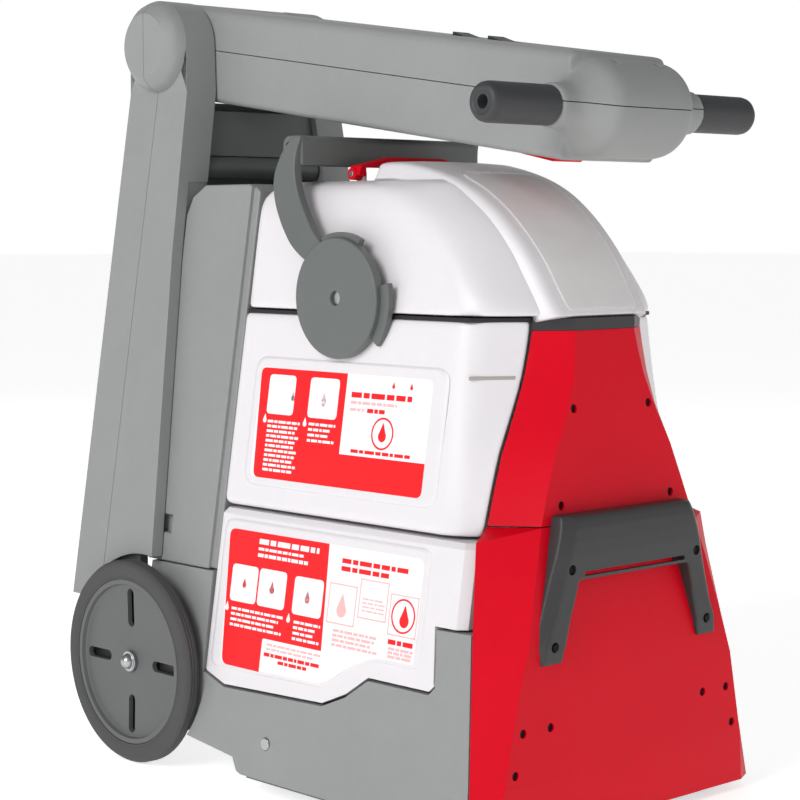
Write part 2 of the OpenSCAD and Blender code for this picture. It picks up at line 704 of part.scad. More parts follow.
module lid_body(s, t0, t1) {
    loft([for (t = [t0, 0.14, 0.36, 0.55, 0.7, 0.85, 0.95, t1])
        ring(lid_run(t, s), lid_z(t))]);
}
module lid_band() {
    bx = min(66 + ridge_grow, hw(lid_top_z) - 12);
    loft([for (t = [-0.3, 0, 0.5, 0.85, 1])
        ring([
            [bx - 8 * max(t, 0), band_rear_y - 4 * max(t, 0)],
            [bx - 5 * max(t, 0), lookup(t, band_top_front) + 16],
            [bx - 12 - 5 * max(t, 0), lookup(t, band_top_front)]
        ], lid_top_z + t * band_rise)]);
}
module tank_lid() color(white) centred() {
    difference() {
        union() {
            lid_body(0, 0, 1);
            lid_band();
            // Trunnions for the bail
            both_sides() x_rod(bail_y, bail_z, stub_r, hw(bail_z) - 4, disc_in_x - 0.6);
            // Lugs for the latch
            both_sides() {
                x_rod(latch_y, latch_z - 3, lug_r, latch_half - 13, latch_half - 9);
                translate([latch_half - 13, latch_y - lug_r, lid_top_z - 1]) cube([4, 2 * lug_r, 7]);
            }
        }
        lid_body(tank_wall, -0.02, 0.97);
        both_sides() x_rod(bail_y, bail_z, 3, hw(bail_z) - 10, disc_in_x + 10);
        both_sides() x_rod(latch_y, latch_z - 3, latch_pin_r, latch_half - 20, latch_half);
    }
}
module lid_window() color([0.83, 0.81, 0.80, 0.6]) centred() {
    loft([for (t = [0.14, 0.36, 0.55, 0.7, 0.85, 0.95])
        ring([
            [40 + ridge_grow, lookup(t, lid_band_front) - 3.2],
            [39 + ridge_grow, lookup(t, lid_band_front) - 5.2]
        ], lid_z(t))]);
}

float_y = -20;
float_r = 16;
cage_hole_r = 12;
cage_z = rim_z + 10;
cage_h = 64;
float_seat = sqrt(float_r * float_r - cage_hole_r * cage_hole_r);
module float_cage() color(black) centred() translate([0, float_y, cage_z]) difference() {
    union() {
        cylinder(r = float_r + 5, h = cage_h);
        translate([0, 0, cage_h - 1]) cylinder(r = cage_hole_r + 2, h = lid_z(0.97) - cage_z - cage_h + 0.9);
    }
    translate([0, 0, 3]) cylinder(r = float_r + 2, h = cage_h - 6);
    translate([0, 0, -1]) cylinder(r = cage_hole_r, h = 200);
    for (a = [0, 90]) rotate([0, 0, a]) translate([-40, -6, 10]) cube([80, 12, cage_h - 22]);
}
module float_ball() color(red) centred()
    translate([0, float_y, cage_z + 3 + float_seat + 0.3]) sphere(r = float_r);

// Latch: an arched pull between two knuckles on the lid
module lid_latch() color(red) centred() difference() {
    union() {
        both_sides() {
            x_rod(latch_y, latch_z - 3, 5, latch_half - 8.5, latch_half);
            front_slab([
                [latch_half - 8, latch_z - 5], [latch_half, latch_z - 4], [latch_half - 3, latch_z + 3.5],
                [27, latch_z + 11], [27, latch_z + 5], [latch_half - 13, latch_z + 2],
                [latch_half - 8, latch_z + 2]
            ], latch_y - latch_d / 2 - 2, latch_y + 4);
        }
        front_slab([[-28, latch_z + 5], [28, latch_z + 5], [27, latch_z + 11], [-27, latch_z + 11]],
            latch_y - latch_d / 2 - 2, latch_y + 4);
    }
    x_rod(latch_y, latch_z - 3, latch_pin_r + run_fit, -floor_w, floor_w);
}
module latch_pins() color(steel) centred() both_sides()
    x_rod(latch_y, latch_z - 3, latch_pin_r, latch_half - 14, latch_half + 1);

// ---- Carry bail ----

module bail_outline() {
    side_slab([
        [-40, 410], [-11.5, 431], [11, 457], [24, 476], [30, 488], [31.5, 499], [28, 513],
        [20, bar_z + bar_h - 5], [10, bar_z + bar_h], [bar_y0, bar_z + bar_h], [7, bar_z],
        [3, 491], [-9, 473], [-31, 449], [-60, 436]
    ], 0, floor_w);
}
module carry_bail() color(dark_grey) centred() difference() {
    bar_x = hw(bar_z + bar_h) + strap_off + strap_t;
    union() {
        both_sides() {
            intersection() {
                bail_outline();
                lean_plate(400, bar_z + bar_h, strap_off, strap_off + strap_t, -100, 100);
            }
            x_rod(bail_y, bail_z, disc_r, disc_in_x, disc_in_x + disc_t, 96);
            x_rod(bail_y, bail_z, stub_r + 9, disc_in_x - 5, disc_in_x + 1);
            // Cam tabs that hold the tanks together
            intersection() {
                x_rod(bail_y, bail_z, disc_r + 9, disc_in_x - 1, disc_in_x + 1.5, 96);
                translate([0, bail_y - 80, bail_z - 22]) cube([floor_w, 60, 38]);
            }
        }
        difference() {
            translate([-bar_x + 1, bar_y0, bar_z]) cube([2 * bar_x - 2, bar_d, bar_h]);
            translate([-bar_x + 6, bar_y0 + 4, bar_z - 1]) cube([2 * bar_x - 12, bar_d - 8, bar_h - 3]);
            // Rounded rear top edge
            translate([-floor_w, bar_y0 + bar_d - 5, bar_z + bar_h]) rotate([45, 0, 0])
                translate([0, 0, -3.6]) cube([2 * floor_w, 20, 20]);
        }
    }
    both_sides() {
        x_rod(bail_y, bail_z, stub_r + run_fit, disc_in_x - 10, disc_in_x);
        x_rod(bail_y, bail_z, 6, 0, floor_w);
    }
}
module bail_screws() color(steel) centred() both_sides() {
    x_rod(bail_y, bail_z, 3, hw(bail_z) - 2, disc_in_x + 1);
    x_rod(bail_y, bail_z, 5.4, disc_in_x - 0.4, disc_in_x + 3);
}

// ---- Lower handle ----

arm_low_z = 134;
arm_front = [[134, 144], [180, 147], [311, 158], [434, 167], [558, 172], [576, 173.5]];
module arm_side(inset) {
    side_slab(concat(
        [[arm_rear_y - inset, arm_low_z]],
        [for (p = arm_front) if (p[0] < 570) [p[1] + inset, p[0]]],
        [[hub_y - hub_r + inset, fold_z], [arm_rear_y - inset, fold_z]]
    ), 0, floor_w);
    if (inset == 0) x_rod(hub_y, fold_z, hub_r, 0, floor_w);
}
// Front outline of one arm, with its walls moved in by inset
module arm_band(inset) {
    front_slab([
        [arm_out(arm_low_z) - arm_t + inset, arm_low_z], [arm_out(arm_low_z) - inset, arm_low_z],
        [hub_out_x - inset, hub_low_z], [hub_out_x - inset, fold_z + hub_r + 1],
        [hub_in_x + inset, fold_z + hub_r + 1], [hub_in_x + inset, hub_low_z]
    ], 100, 300);
}
rear_panel_y = 222;
rear_panel_t = 4;
module handle_arm() difference() {
    union() {
        intersection() {
            arm_side(0);
            arm_band(0);
        }
        // Domed cover of the fold joint
        translate([hub_out_x, hub_y, fold_z]) rotate([0, 90, 0]) rotate_extrude() polygon([
            [0, -1], [hub_r, -1], [hub_r - 1, 3], [hub_r - 4, boss_h * 0.55],
            [boss_r + 1.5, boss_h - 1.2], [boss_r, boss_h], [0, boss_h]
        ]);
    }
    // Hollow of the arm, behind the housing
    intersection() {
        arm_side(wall);
        arm_band(wall);
        translate([0, housing_rear_y + 2 + wall, 0]) cube([floor_w, 200, hub_low_z - 6]);
    }
    // Room for the rear housing and the wheel
    body_wedge(0, housing_top_z + 3, 0, housing_rear_y + 2, -1);
    x_rod(axle_y, axle_z, well_r + 1, -1, floor_w);
    x_rod(hub_y, fold_z, pin_r, 0, hub_out_x - 4);
}
module rear_panel() {
    z0 = 300;
    z1 = 570;
    a = arm_out(z0) - arm_t + 0.5;
    b = arm_out(z1) - arm_t + 0.5;
    front_slab([[-a, z0], [a, z0], [b, z1], [-b, z1]], rear_panel_y, rear_panel_y + rear_panel_t);
}
module lower_handle_front() color(grey) centred() intersection() {
    both_sides() handle_arm();
    translate([-floor_w, 0, 0]) cube([2 * floor_w, hub_y - 0.25, 1000]);
}
module lower_handle_rear() color(grey) centred() union() {
    intersection() {
        both_sides() handle_arm();
        translate([-floor_w, hub_y + 0.25, 0]) cube([2 * floor_w, 200, 1000]);
    }
    rear_panel();
}
module pivot_brackets() color(dark_grey) centred() both_sides() difference() {
    union() {
        x_rod(axle_y, axle_z, 26, bracket_in_x, bracket_out_x);
        side_slab([
            [axle_y - 22, axle_z + 12], [178, 150], [178, 225], [246, 225], [246, 170],
            [axle_y + 25, axle_z - 6]
        ], bracket_in_x, bracket_in_x + plate_t);
    }
    x_rod(axle_y, axle_z, axle_r + run_fit, 0, floor_w);
}
module cross_bar() color(dark_grey) centred() {
    z0 = 521;
    z1 = 560;
    a = arm_out(z0) - arm_t - 0.3;
    b = arm_out(z1) - arm_t - 0.3;
    front_slab([[-a, z0], [a, z0], [b, z1], [-b, z1]], 178, 190);
    x_rod(184, z0 - 10, 10.5, -a, a);
}
module fold_pins() color(steel) centred() both_sides()
    x_rod(hub_y, fold_z, pin_r, beam_hw - 18, hub_out_x - 4.5);
module cord_hook_fixed() color(black) centred() {
    translate([-9, rear_panel_y + rear_panel_t, 330]) cube([18, 20, 14]);
    translate([-13, rear_panel_y + rear_panel_t + 20, 300]) cube([26, 5, 44]);
}
hook_z = 520;
module cord_hook_swivel() color(black) centred() {
    y_rod(0, hook_z, 8, rear_panel_y + rear_panel_t + 0.4, rear_panel_y + rear_panel_t + 21);
    translate([-13, rear_panel_y + rear_panel_t + 20, hook_z - 9]) cube([26, 5, 44]);
}
module cord_gland() color(black) centred() difference() {
    union() {
        y_rod(34, 548, 8, rear_panel_y + rear_panel_t, rear_panel_y + rear_panel_t + 4);
        y_rod(34, 548, 6, rear_panel_y + rear_panel_t + 3, rear_panel_y + rear_panel_t + 16);
    }
    y_rod(34, 548, 4, rear_panel_y, rear_panel_y + 40);
}

// ---- Upper handle, drawn in its own frame along the folded beam ----

tee_z = -2.5;
module beam_frame() translate([0, hub_y, fold_z]) rotate([beam_droop, 0, 0]) children();
module beam_outer(inset) {
    w = beam_hw - inset;
    b = beam_bottom + inset;
    t = beam_top - inset;
    intersection() {
        front_slab([[-w, b], [w, b], [w, t - 6], [w - 8, t], [-w + 8, t], [-w, t - 6]],
            -beam_len + 18, 60);
        union() {
            side_slab([[-beam_len, b], [0, b], [0, t], [-beam_len, t]], -60 - floor_w, floor_w);
            x_rod(0, 0, hub_r - inset, -floor_w, floor_w);
        }
    }
}
module tee_outer() {
    x_rod(-beam_len, tee_z, barrel_r, -tee_barrel_half, tee_barrel_half);
    both_sides() translate([tee_barrel_half, -beam_len, tee_z]) rotate([0, 90, 0]) {
        cylinder(r1 = barrel_r, r2 = neck_r, h = neck_x - tee_barrel_half);
        cylinder(r = neck_r, h = grip_x - tee_barrel_half);
    }
}
module beam_whole() difference() {
    union() {
        difference() {
            beam_outer(0);
            intersection() {
                beam_outer(wall);
                translate([-floor_w, -beam_len + 40, -100]) cube([2 * floor_w, beam_len - 40 - 50, 200]);
            }
        }
        tee_outer();
        // Lugs for the trigger's pins and the rockers' pins
        both_sides() translate([trigger_half + 1.5, trigger_y - 6, beam_bottom + 1]) cube([5, 12, 16]);
        both_sides() for (y = switch_y)
            translate([switch_half + 0.6, y - 6, beam_top - 14]) cube([4, 12, 12]);
    }
    x_rod(0, 0, pin_r + run_fit, -floor_w, floor_w);
    x_rod(-beam_len, tee_z, tube_r + 0.02, -floor_w, floor_w);
    x_rod(trigger_y, beam_bottom + 9, trigger_pin_r + run_fit, -trigger_half - 8, trigger_half + 8);
    translate([-trigger_half - 1, trigger_y - trigger_len - 5, beam_bottom - 1])
        cube([2 * trigger_half + 2, trigger_len + 12, 8]);
    for (y = switch_y) {
        translate([-switch_half - 0.5, y - 14, beam_top - 16]) cube([2 * switch_half + 1, 28, 30]);
        x_rod(y, beam_top - 5, switch_pin_r + run_fit, -switch_half - 6, switch_half + 6);
    }
    // Screw holes on the barrel
    for (x = [-24, 24]) translate([x, -beam_len - 12, tee_z]) cylinder(r = 4.5, h = 60);
}
module upper_handle_top() color(grey) centred() beam_frame() intersection() {
    beam_whole();
    translate([-floor_w, -2 * beam_len, beam_seam + 0.2]) cube([2 * floor_w, 3 * beam_len, 200]);
}
module upper_handle_bottom() color(grey) centred() beam_frame() intersection() {
    beam_whole();
    translate([-floor_w, -2 * beam_len, beam_seam - 0.2 - 200]) cube([2 * floor_w, 3 * beam_len, 200]);
}
module tee_tube() color(steel) centred() beam_frame() difference() {
    x_rod(-beam_len, tee_z, tube_r, -tee_half + 3, tee_half - 3);
    x_rod(-beam_len, tee_z, tube_r - 1.5, -tee_half, tee_half);
}
module grips() color(black) centred() beam_frame() both_sides() difference() {
    x_rod(-beam_len, tee_z, grip_r, grip_x + 0.3, tee_half);
    x_rod(-beam_len, tee_z, tube_r, grip_x, tee_half - 3);
    x_rod(-beam_len, tee_z, 5, grip_x, tee_half + 1);
}
module spray_trigger() color(red) centred() beam_frame() {
    z = beam_bottom + 9;
    x_rod(trigger_y, z, trigger_pin_r, -trigger_half - 6, trigger_half + 6);
    side_slab([
        [trigger_y + 5, z + 4], [trigger_y + 5, z - 4], [trigger_y - 6, z - 12],
        [trigger_y - trigger_len + 4, z - 14], [trigger_y - trigger_len, z - 11],
        [trigger_y - trigger_len, z - 5], [trigger_y - 10, z + 4]
    ], -trigger_half, trigger_half);
}
module rocker(y) beam_frame() {
    x_rod(y, beam_top - 5, switch_pin_r, -switch_half - 4, switch_half + 4);
    side_slab([
        [y - 13, beam_top - 5], [y - 13, beam_top - 1], [y, beam_top + 0.5], [y + 13, beam_top + 3],
        [y + 13, beam_top - 4], [y, beam_top - 9]
    ], -switch_half, switch_half);
}
module vacuum_switch() color(black) centred() rocker(switch_y[0]);
module brush_switch() color(black) centred() rocker(switch_y[1]);

base_housing();
underbody_pan();
rear_housing();
front_cover_lower();
front_cover_upper();
tower_cap();
front_carry_handle();
front_screws();
side_screw_caps();
suction_nozzle();
suction_duct();
brush_cover();
brush_roll();
brush_belt();
brush_motor();
motor_pulley();
vacuum_motor();
vacuum_fan();
pump();
spray_tips();
release_pedal();
axle();
axle_nuts();
wheel_tyre_left();
wheel_hub_left();
wheel_tyre_right();
wheel_hub_right();
roller_brackets();
roller_pins();
roller_left();
roller_right();
clean_tank();
fill_cap();
tank_valve();
dirty_tank();
tank_gasket();
tank_lid();
lid_window();
float_cage();
float_ball();
lid_latch();
latch_pins();
carry_bail();
bail_screws();
lower_handle_front();
lower_handle_rear();
pivot_brackets();
cross_bar();
fold_pins();
cord_hook_fixed();
cord_hook_swivel();
cord_gland();
upper_handle_top();
upper_handle_bottom();
tee_tube();
grips();
spray_trigger();
vacuum_switch();
brush_switch();
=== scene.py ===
"""Upright carpet cleaner with two stacked tanks and a folded two-part handle, laid out as an add-on."""

import json
import math

import bmesh
import bpy
import numpy as np
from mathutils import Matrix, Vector


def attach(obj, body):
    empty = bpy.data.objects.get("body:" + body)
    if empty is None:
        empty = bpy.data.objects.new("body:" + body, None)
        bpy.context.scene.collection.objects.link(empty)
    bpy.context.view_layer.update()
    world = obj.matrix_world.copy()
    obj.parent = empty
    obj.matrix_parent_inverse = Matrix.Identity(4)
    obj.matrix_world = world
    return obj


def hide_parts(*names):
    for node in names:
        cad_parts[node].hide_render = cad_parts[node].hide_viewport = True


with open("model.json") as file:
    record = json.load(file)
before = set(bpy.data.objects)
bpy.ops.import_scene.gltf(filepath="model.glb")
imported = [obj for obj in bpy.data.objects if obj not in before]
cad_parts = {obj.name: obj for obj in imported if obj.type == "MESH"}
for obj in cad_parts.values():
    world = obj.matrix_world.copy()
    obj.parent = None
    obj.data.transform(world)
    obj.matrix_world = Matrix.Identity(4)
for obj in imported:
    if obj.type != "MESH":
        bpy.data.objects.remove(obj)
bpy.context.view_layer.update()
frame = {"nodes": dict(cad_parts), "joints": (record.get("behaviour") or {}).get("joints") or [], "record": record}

bl_info = {
    "name": "Upright Carpet Cleaner",
    "version": (1, 0, 0),
    "blender": (4, 5, 0),
    "location": "View3D > Sidebar > Carpet Cleaner",
    "description": "Builds the looks of an upright carpet cleaner around its engineering frame",
    "category": "Object",
}

MM = 0.001
JOINTS = {j["name"]: j for j in frame["joints"]}
AXLE_BACK, AXLE_UP = 160.0, 87.0
SHIFT_Y = JOINTS["handle_recline"]["pos_m"][1] / MM - AXLE_BACK
HUB = (214.0, 616.0)
DROOP = math.radians(8.3)


# ---- Small helpers ----


def linear(code):
    """An sRGB hex colour as linear RGBA."""
    part = [int(code[i : i + 2], 16) / 255 for i in (1, 3, 5)]
    return tuple(c / 12.92 if c <= 0.04045 else ((c + 0.055) / 1.055) ** 2.4 for c in part) + (1,)


def add(tree, kind, sockets=None, **settings):
    """Adds a node, sets its properties, and sets or links its input sockets."""
    made = tree.nodes.new("ShaderNode" + kind)
    for key, value in settings.items():
        setattr(made, key, value)
    for key, value in (sockets or {}).items():
        if isinstance(value, bpy.types.NodeSocket):
            tree.links.new(value, made.inputs[key])
        else:
            made.inputs[key].default_value = value
    return made


def at(x, y, z):
    """A point of the machine, in millimetres from the middle of its footprint before the frame's shift."""
    return (x * MM, (y + SHIFT_Y) * MM, z * MM)


def half_width(z):
    """Half width of the leaning body at a height, in millimetres."""
    return 165 - 0.155 * z


def flow(points, steps):
    """A smooth line through the points, with that many steps between neighbours."""
    pts = [Vector(p) for p in points]
    out = []
    for i in range(len(pts) - 1):
        a, b = pts[max(i - 1, 0)], pts[min(i + 2, len(pts) - 1)]
        p, q = pts[i], pts[i + 1]
        for k in range(steps):
            t = k / steps
            bend, twist = 2 * a - 5 * p + 4 * q - b, 3 * p - a - 3 * q + b
            out.append(0.5 * (2 * p + (q - a) * t + bend * t * t + twist * t**3))
    return out + [pts[-1]]


def smooth_table(rows):
    """A smooth function of one value through rows of (value, result)."""
    line = flow(rows, 10)
    xs, ys = [p[0] for p in line], [p[1] for p in line]
    return lambda value: float(np.interp(value, xs, ys))


def rounded(points, radii, steps=6):
    """A closed outline with each corner replaced by a round of that radius."""
    out, n = [], len(points)
    for i, r in enumerate(radii):
        p = Vector(points[i])
        a, b = Vector(points[i - 1]) - p, Vector(points[(i + 1) % n]) - p
        r = min(r, 0.48 * min(a.length, b.length))
        a, b = p + a.normalized() * r, p + b.normalized() * r
        for k in range(steps + 1):
            t = k / steps
            out.append(tuple((1 - t) ** 2 * a + 2 * t * (1 - t) * p + t * t * b))
    return out


def lofted(rings, ends=True):
    """Vertices and faces of a skin through closed rings of equal length."""
    n = len(rings[0])
    verts = [p for r in rings for p in r]
    faces = [
        (k * n + i, k * n + (i + 1) % n, (k + 1) * n + (i + 1) % n, (k + 1) * n + i)
        for k in range(len(rings) - 1)
        for i in range(n)
    ]
    if ends:
        faces += [tuple(reversed(range(n))), tuple((len(rings) - 1) * n + i for i in range(n))]
    return verts, faces


def slab(outline, place, a, b):
    """A prism from an outline: place(u, v, w) gives the point at outline (u, v) and depth w."""
    return lofted([[place(u, v, w) for u, v in outline] for w in (a, b)])


def turned(profile, place, steps=72, loop=False):
    """A solid of revolution: profile rows are (radius, depth), place(u, v, w) maps the turned point.
    With loop, the profile closes on itself round a hole."""
    angles = [2 * math.pi * k / steps for k in range(steps)]
    rings = [[place(r * math.cos(a), r * math.sin(a), d) for a in angles] for r, d in profile]
    if loop:
        rings.append(rings[0])
    return lofted(rings, ends=not loop)


def sector(r0, r1, first, last, place, a, b):
    """Part of a flat ring between two angles in degrees, from depth a to depth b."""
    turn = [math.radians(first + (last - first) * k / 16) for k in range(17)]
    outline = [(r1 * math.cos(t), r1 * math.sin(t)) for t in turn]
    outline += [(r0 * math.cos(t), r0 * math.sin(t)) for t in reversed(turn)]
    return slab(outline, place, a, b)


def mirrored(parts):
    """The parts and their mirror images across the middle plane."""
    return parts + [
        ([(-v[0], v[1], v[2]) for v in verts], [tuple(reversed(f)) for f in faces]) for verts, faces in parts
    ]


def piece(name, parts, slot, body="root", replaces=(), bevel=0.0, segments=3, angle=32, finish=None):
    """Makes one piece from a list of (vertices, faces) in metres, and lets it ride on its body."""
    obj = loose(parts, name)
    finish_edges(obj, bevel, segments, angle)
    return dress(obj, name, MATERIALS[finish or slot], body, replaces)


def finish_edges(obj, bevel, segments=3, angle=32):
    """Breaks sharp edges with a small radius and shades the rest smooth."""
    for f in obj.data.polygons:
        f.use_smooth = True
    if bevel:
        edge = obj.modifiers.new("edge radius", "BEVEL")
        edge.width = bevel * MM
        edge.segments = segments
        edge.limit_method = "ANGLE"
        edge.angle_limit = math.radians(angle)
        edge.harden_normals = False
        edge.use_clamp_overlap = True
    even = obj.modifiers.new("even normals", "WEIGHTED_NORMAL")
    even.keep_sharp = True
    even.weight = 60


def side_point(y, z, off):
    """A point of the left side's leaning face, off millimetres out from it."""
    return at(half_width(z) + off, y, z)


def baked(obj):
    """Turns a piece with modifiers into a plain mesh."""
    mesh = bpy.data.meshes.new_from_object(obj.evaluated_get(bpy.context.evaluated_depsgraph_get()))
    obj.modifiers.clear()
    obj.data = mesh
    return obj


def loose(parts, name="blank"):
    """A bare mesh object that a later step carves or joins."""
    bm = bmesh.new()
    for verts, faces in parts:
        made = [bm.verts.new(v) for v in verts]
        for f in faces:
            bm.faces.new([made[i] for i in f])
    bmesh.ops.remove_doubles(bm, verts=bm.verts, dist=1e-6)
    bmesh.ops.recalc_face_normals(bm, faces=bm.faces)
    mesh = bpy.data.meshes.new(name)
    bm.to_mesh(mesh)
    bm.free()
    obj = bpy.data.objects.new(name, mesh)
    bpy.context.scene.collection.objects.link(obj)
    return obj


def carved(obj, parts):
    """Cuts the given solids out of a bare mesh object."""
    for part in parts:
        cutter = loose([part], "cutter")
        cut = obj.modifiers.new("cut", "BOOLEAN")
        cut.object, cut.solver = cutter, "EXACT"
        baked(obj)
        bpy.data.objects.remove(cutter)
    return obj


def fused(parts, voxel, rounds):
    """One moulded body from overlapping parts, with every edge and join blended by a small fillet."""
    obj = loose(parts)
    skin = obj.modifiers.new("one body", "REMESH")
    skin.mode, skin.voxel_size = "VOXEL", voxel * MM
    soften = obj.modifiers.new("fillets", "SMOOTH")
    soften.factor, soften.iterations = 0.5, rounds
    return baked(obj)


def dress(obj, name, material, body, replaces=()):
    """Gives a ready mesh object its name, finish and body, and hides the parts that it replaces."""
    obj.name = name
    obj.data.materials.clear()
    obj.data.materials.append(material)
    for f in obj.data.polygons:
        f.use_smooth = True
    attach(obj, body)
    if replaces:
        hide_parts(*replaces)
    return obj


# ---- Materials ----


def moulded(name, colour, rough, grain=1.2, bump=0.06, mottle=0.05, specular=0.45, milky=0.0, glow=0.0):
    """Moulded plastic or rubber: fine spark-eroded grain, slow colour drift, handling marks in the gloss.
    grain is the size of the mould texture in millimetres, coarser than the real 0.1 mm so that it shows."""
    mat = bpy.data.materials.new(name)
    mat.use_nodes = True
    t = mat.node_tree
    t.nodes.clear()
    where = add(t, "TexCoord").outputs["Object"]
    drift = add(t, "TexNoise", {"Vector": where, "Scale": 1 / (60 * MM), "Detail": 4.0, "Roughness": 0.6})
    scuff = add(t, "TexNoise", {"Vector": where, "Scale": 1 / (9 * MM), "Detail": 6.0, "Roughness": 0.7})
    fine = add(t, "TexNoise", {"Vector": where, "Scale": 1 / (grain * MM), "Detail": 2.0, "Roughness": 0.5})
    both = add(t, "Math", {0: drift.outputs["Fac"], 1: scuff.outputs["Fac"]}, operation="ADD")
    base = linear(colour)
    low = tuple(c * (1 - mottle) for c in base[:3]) + (1,)
    high = tuple(min(1, c * (1 + mottle)) for c in base[:3]) + (1,)
    mean = add(t, "Math", {0: both.outputs[0], 1: 0.5}, operation="MULTIPLY")
    tone = add(t, "ValToRGB", {"Fac": mean.outputs[0]})
    tone.color_ramp.elements[0].position, tone.color_ramp.elements[0].color = 0.3, low
    tone.color_ramp.elements[1].position, tone.color_ramp.elements[1].color = 0.7, high
    gloss = add(
        t,
        "MapRange",
        {
            "Value": scuff.outputs["Fac"],
            "From Min": 0.25,
            "From Max": 0.75,
            "To Min": rough - 0.06,
            "To Max": rough + 0.08,
        },
    )
    relief = add(t, "Bump", {"Height": fine.outputs["Fac"], "Strength": bump, "Distance": 0.4 * MM})
    shader = add(
        t,
        "BsdfPrincipled",
        {
            "Base Color": tone.outputs["Color"],
            "Roughness": gloss.outputs["Result"],
            "Normal": relief.outputs["Normal"],
            "Specular IOR Level": specular,
            "IOR": 1.5,
            "Subsurface Weight": milky,
            "Emission Color": base,
            "Emission Strength": glow,
        },
    )
    shader.inputs["Subsurface Radius"].default_value = (0.006, 0.005, 0.0045)
    add(t, "OutputMaterial", {"Surface": shader.outputs["BSDF"]})
    return mat


def metal(name, colour, rough, pitch=1.5):
    """Bare or plated metal: tone and gloss broken by fine marks, pitch in millimetres between them."""
    mat = bpy.data.materials.new(name)
    mat.use_nodes = True
    t = mat.node_tree
    t.nodes.clear()
    where = add(t, "TexCoord").outputs["Object"]
    marks = add(t, "TexNoise", {"Vector": where, "Scale": 1 / (pitch * MM), "Detail": 5.0})
    tone = add(t, "ValToRGB", {"Fac": marks.outputs["Fac"]})
    base = linear(colour)
    tone.color_ramp.elements[0].color = tuple(0.82 * c for c in base[:3]) + (1,)
    tone.color_ramp.elements[1].color = base
    gloss = add(
        t, "MapRange", {"Value": marks.outputs["Fac"], "To Min": rough - 0.08, "To Max": rough + 0.12}
    )
    relief = add(t, "Bump", {"Height": marks.outputs["Fac"], "Strength": 0.08, "Distance": 0.2 * MM})
    shader = add(
        t,
        "BsdfPrincipled",
        {
            "Base Color": tone.outputs["Color"],
            "Roughness": gloss.outputs["Result"],
            "Normal": relief.outputs["Normal"],
            "Metallic": 1.0,
        },
    )
    add(t, "OutputMaterial", {"Surface": shader.outputs["BSDF"]})
    return mat


def smoked_polycarbonate():
    """Clear polycarbonate moulded with a faint tint: the white below shows through, dulled by mould haze."""
    mat = bpy.data.materials.new("polycarbonate_moulded_smoked")
    mat.use_nodes = True
    t = mat.node_tree
    t.nodes.clear()
    where = add(t, "TexCoord").outputs["Object"]
    haze = add(t, "TexNoise", {"Vector": where, "Scale": 1 / (14 * MM), "Detail": 4.0})
    gloss = add(t, "MapRange", {"Value": haze.outputs["Fac"], "To Min": 0.12, "To Max": 0.3})
    tone = add(t, "ValToRGB", {"Fac": haze.outputs["Fac"]})
    tone.color_ramp.elements[0].color = linear("#f4f1f0")
    tone.color_ramp.elements[1].color = linear("#faf8f6")
    shader = add(
        t,
        "BsdfPrincipled",
        {
            "Base Color": tone.outputs["Color"],
            "Roughness": gloss.outputs["Result"],
            "IOR": 1.58,
            "Transmission Weight": 0.1,
            "Alpha": 0.5,
        },
    )
    add(t, "OutputMaterial", {"Surface": shader.outputs["BSDF"]})
    return mat


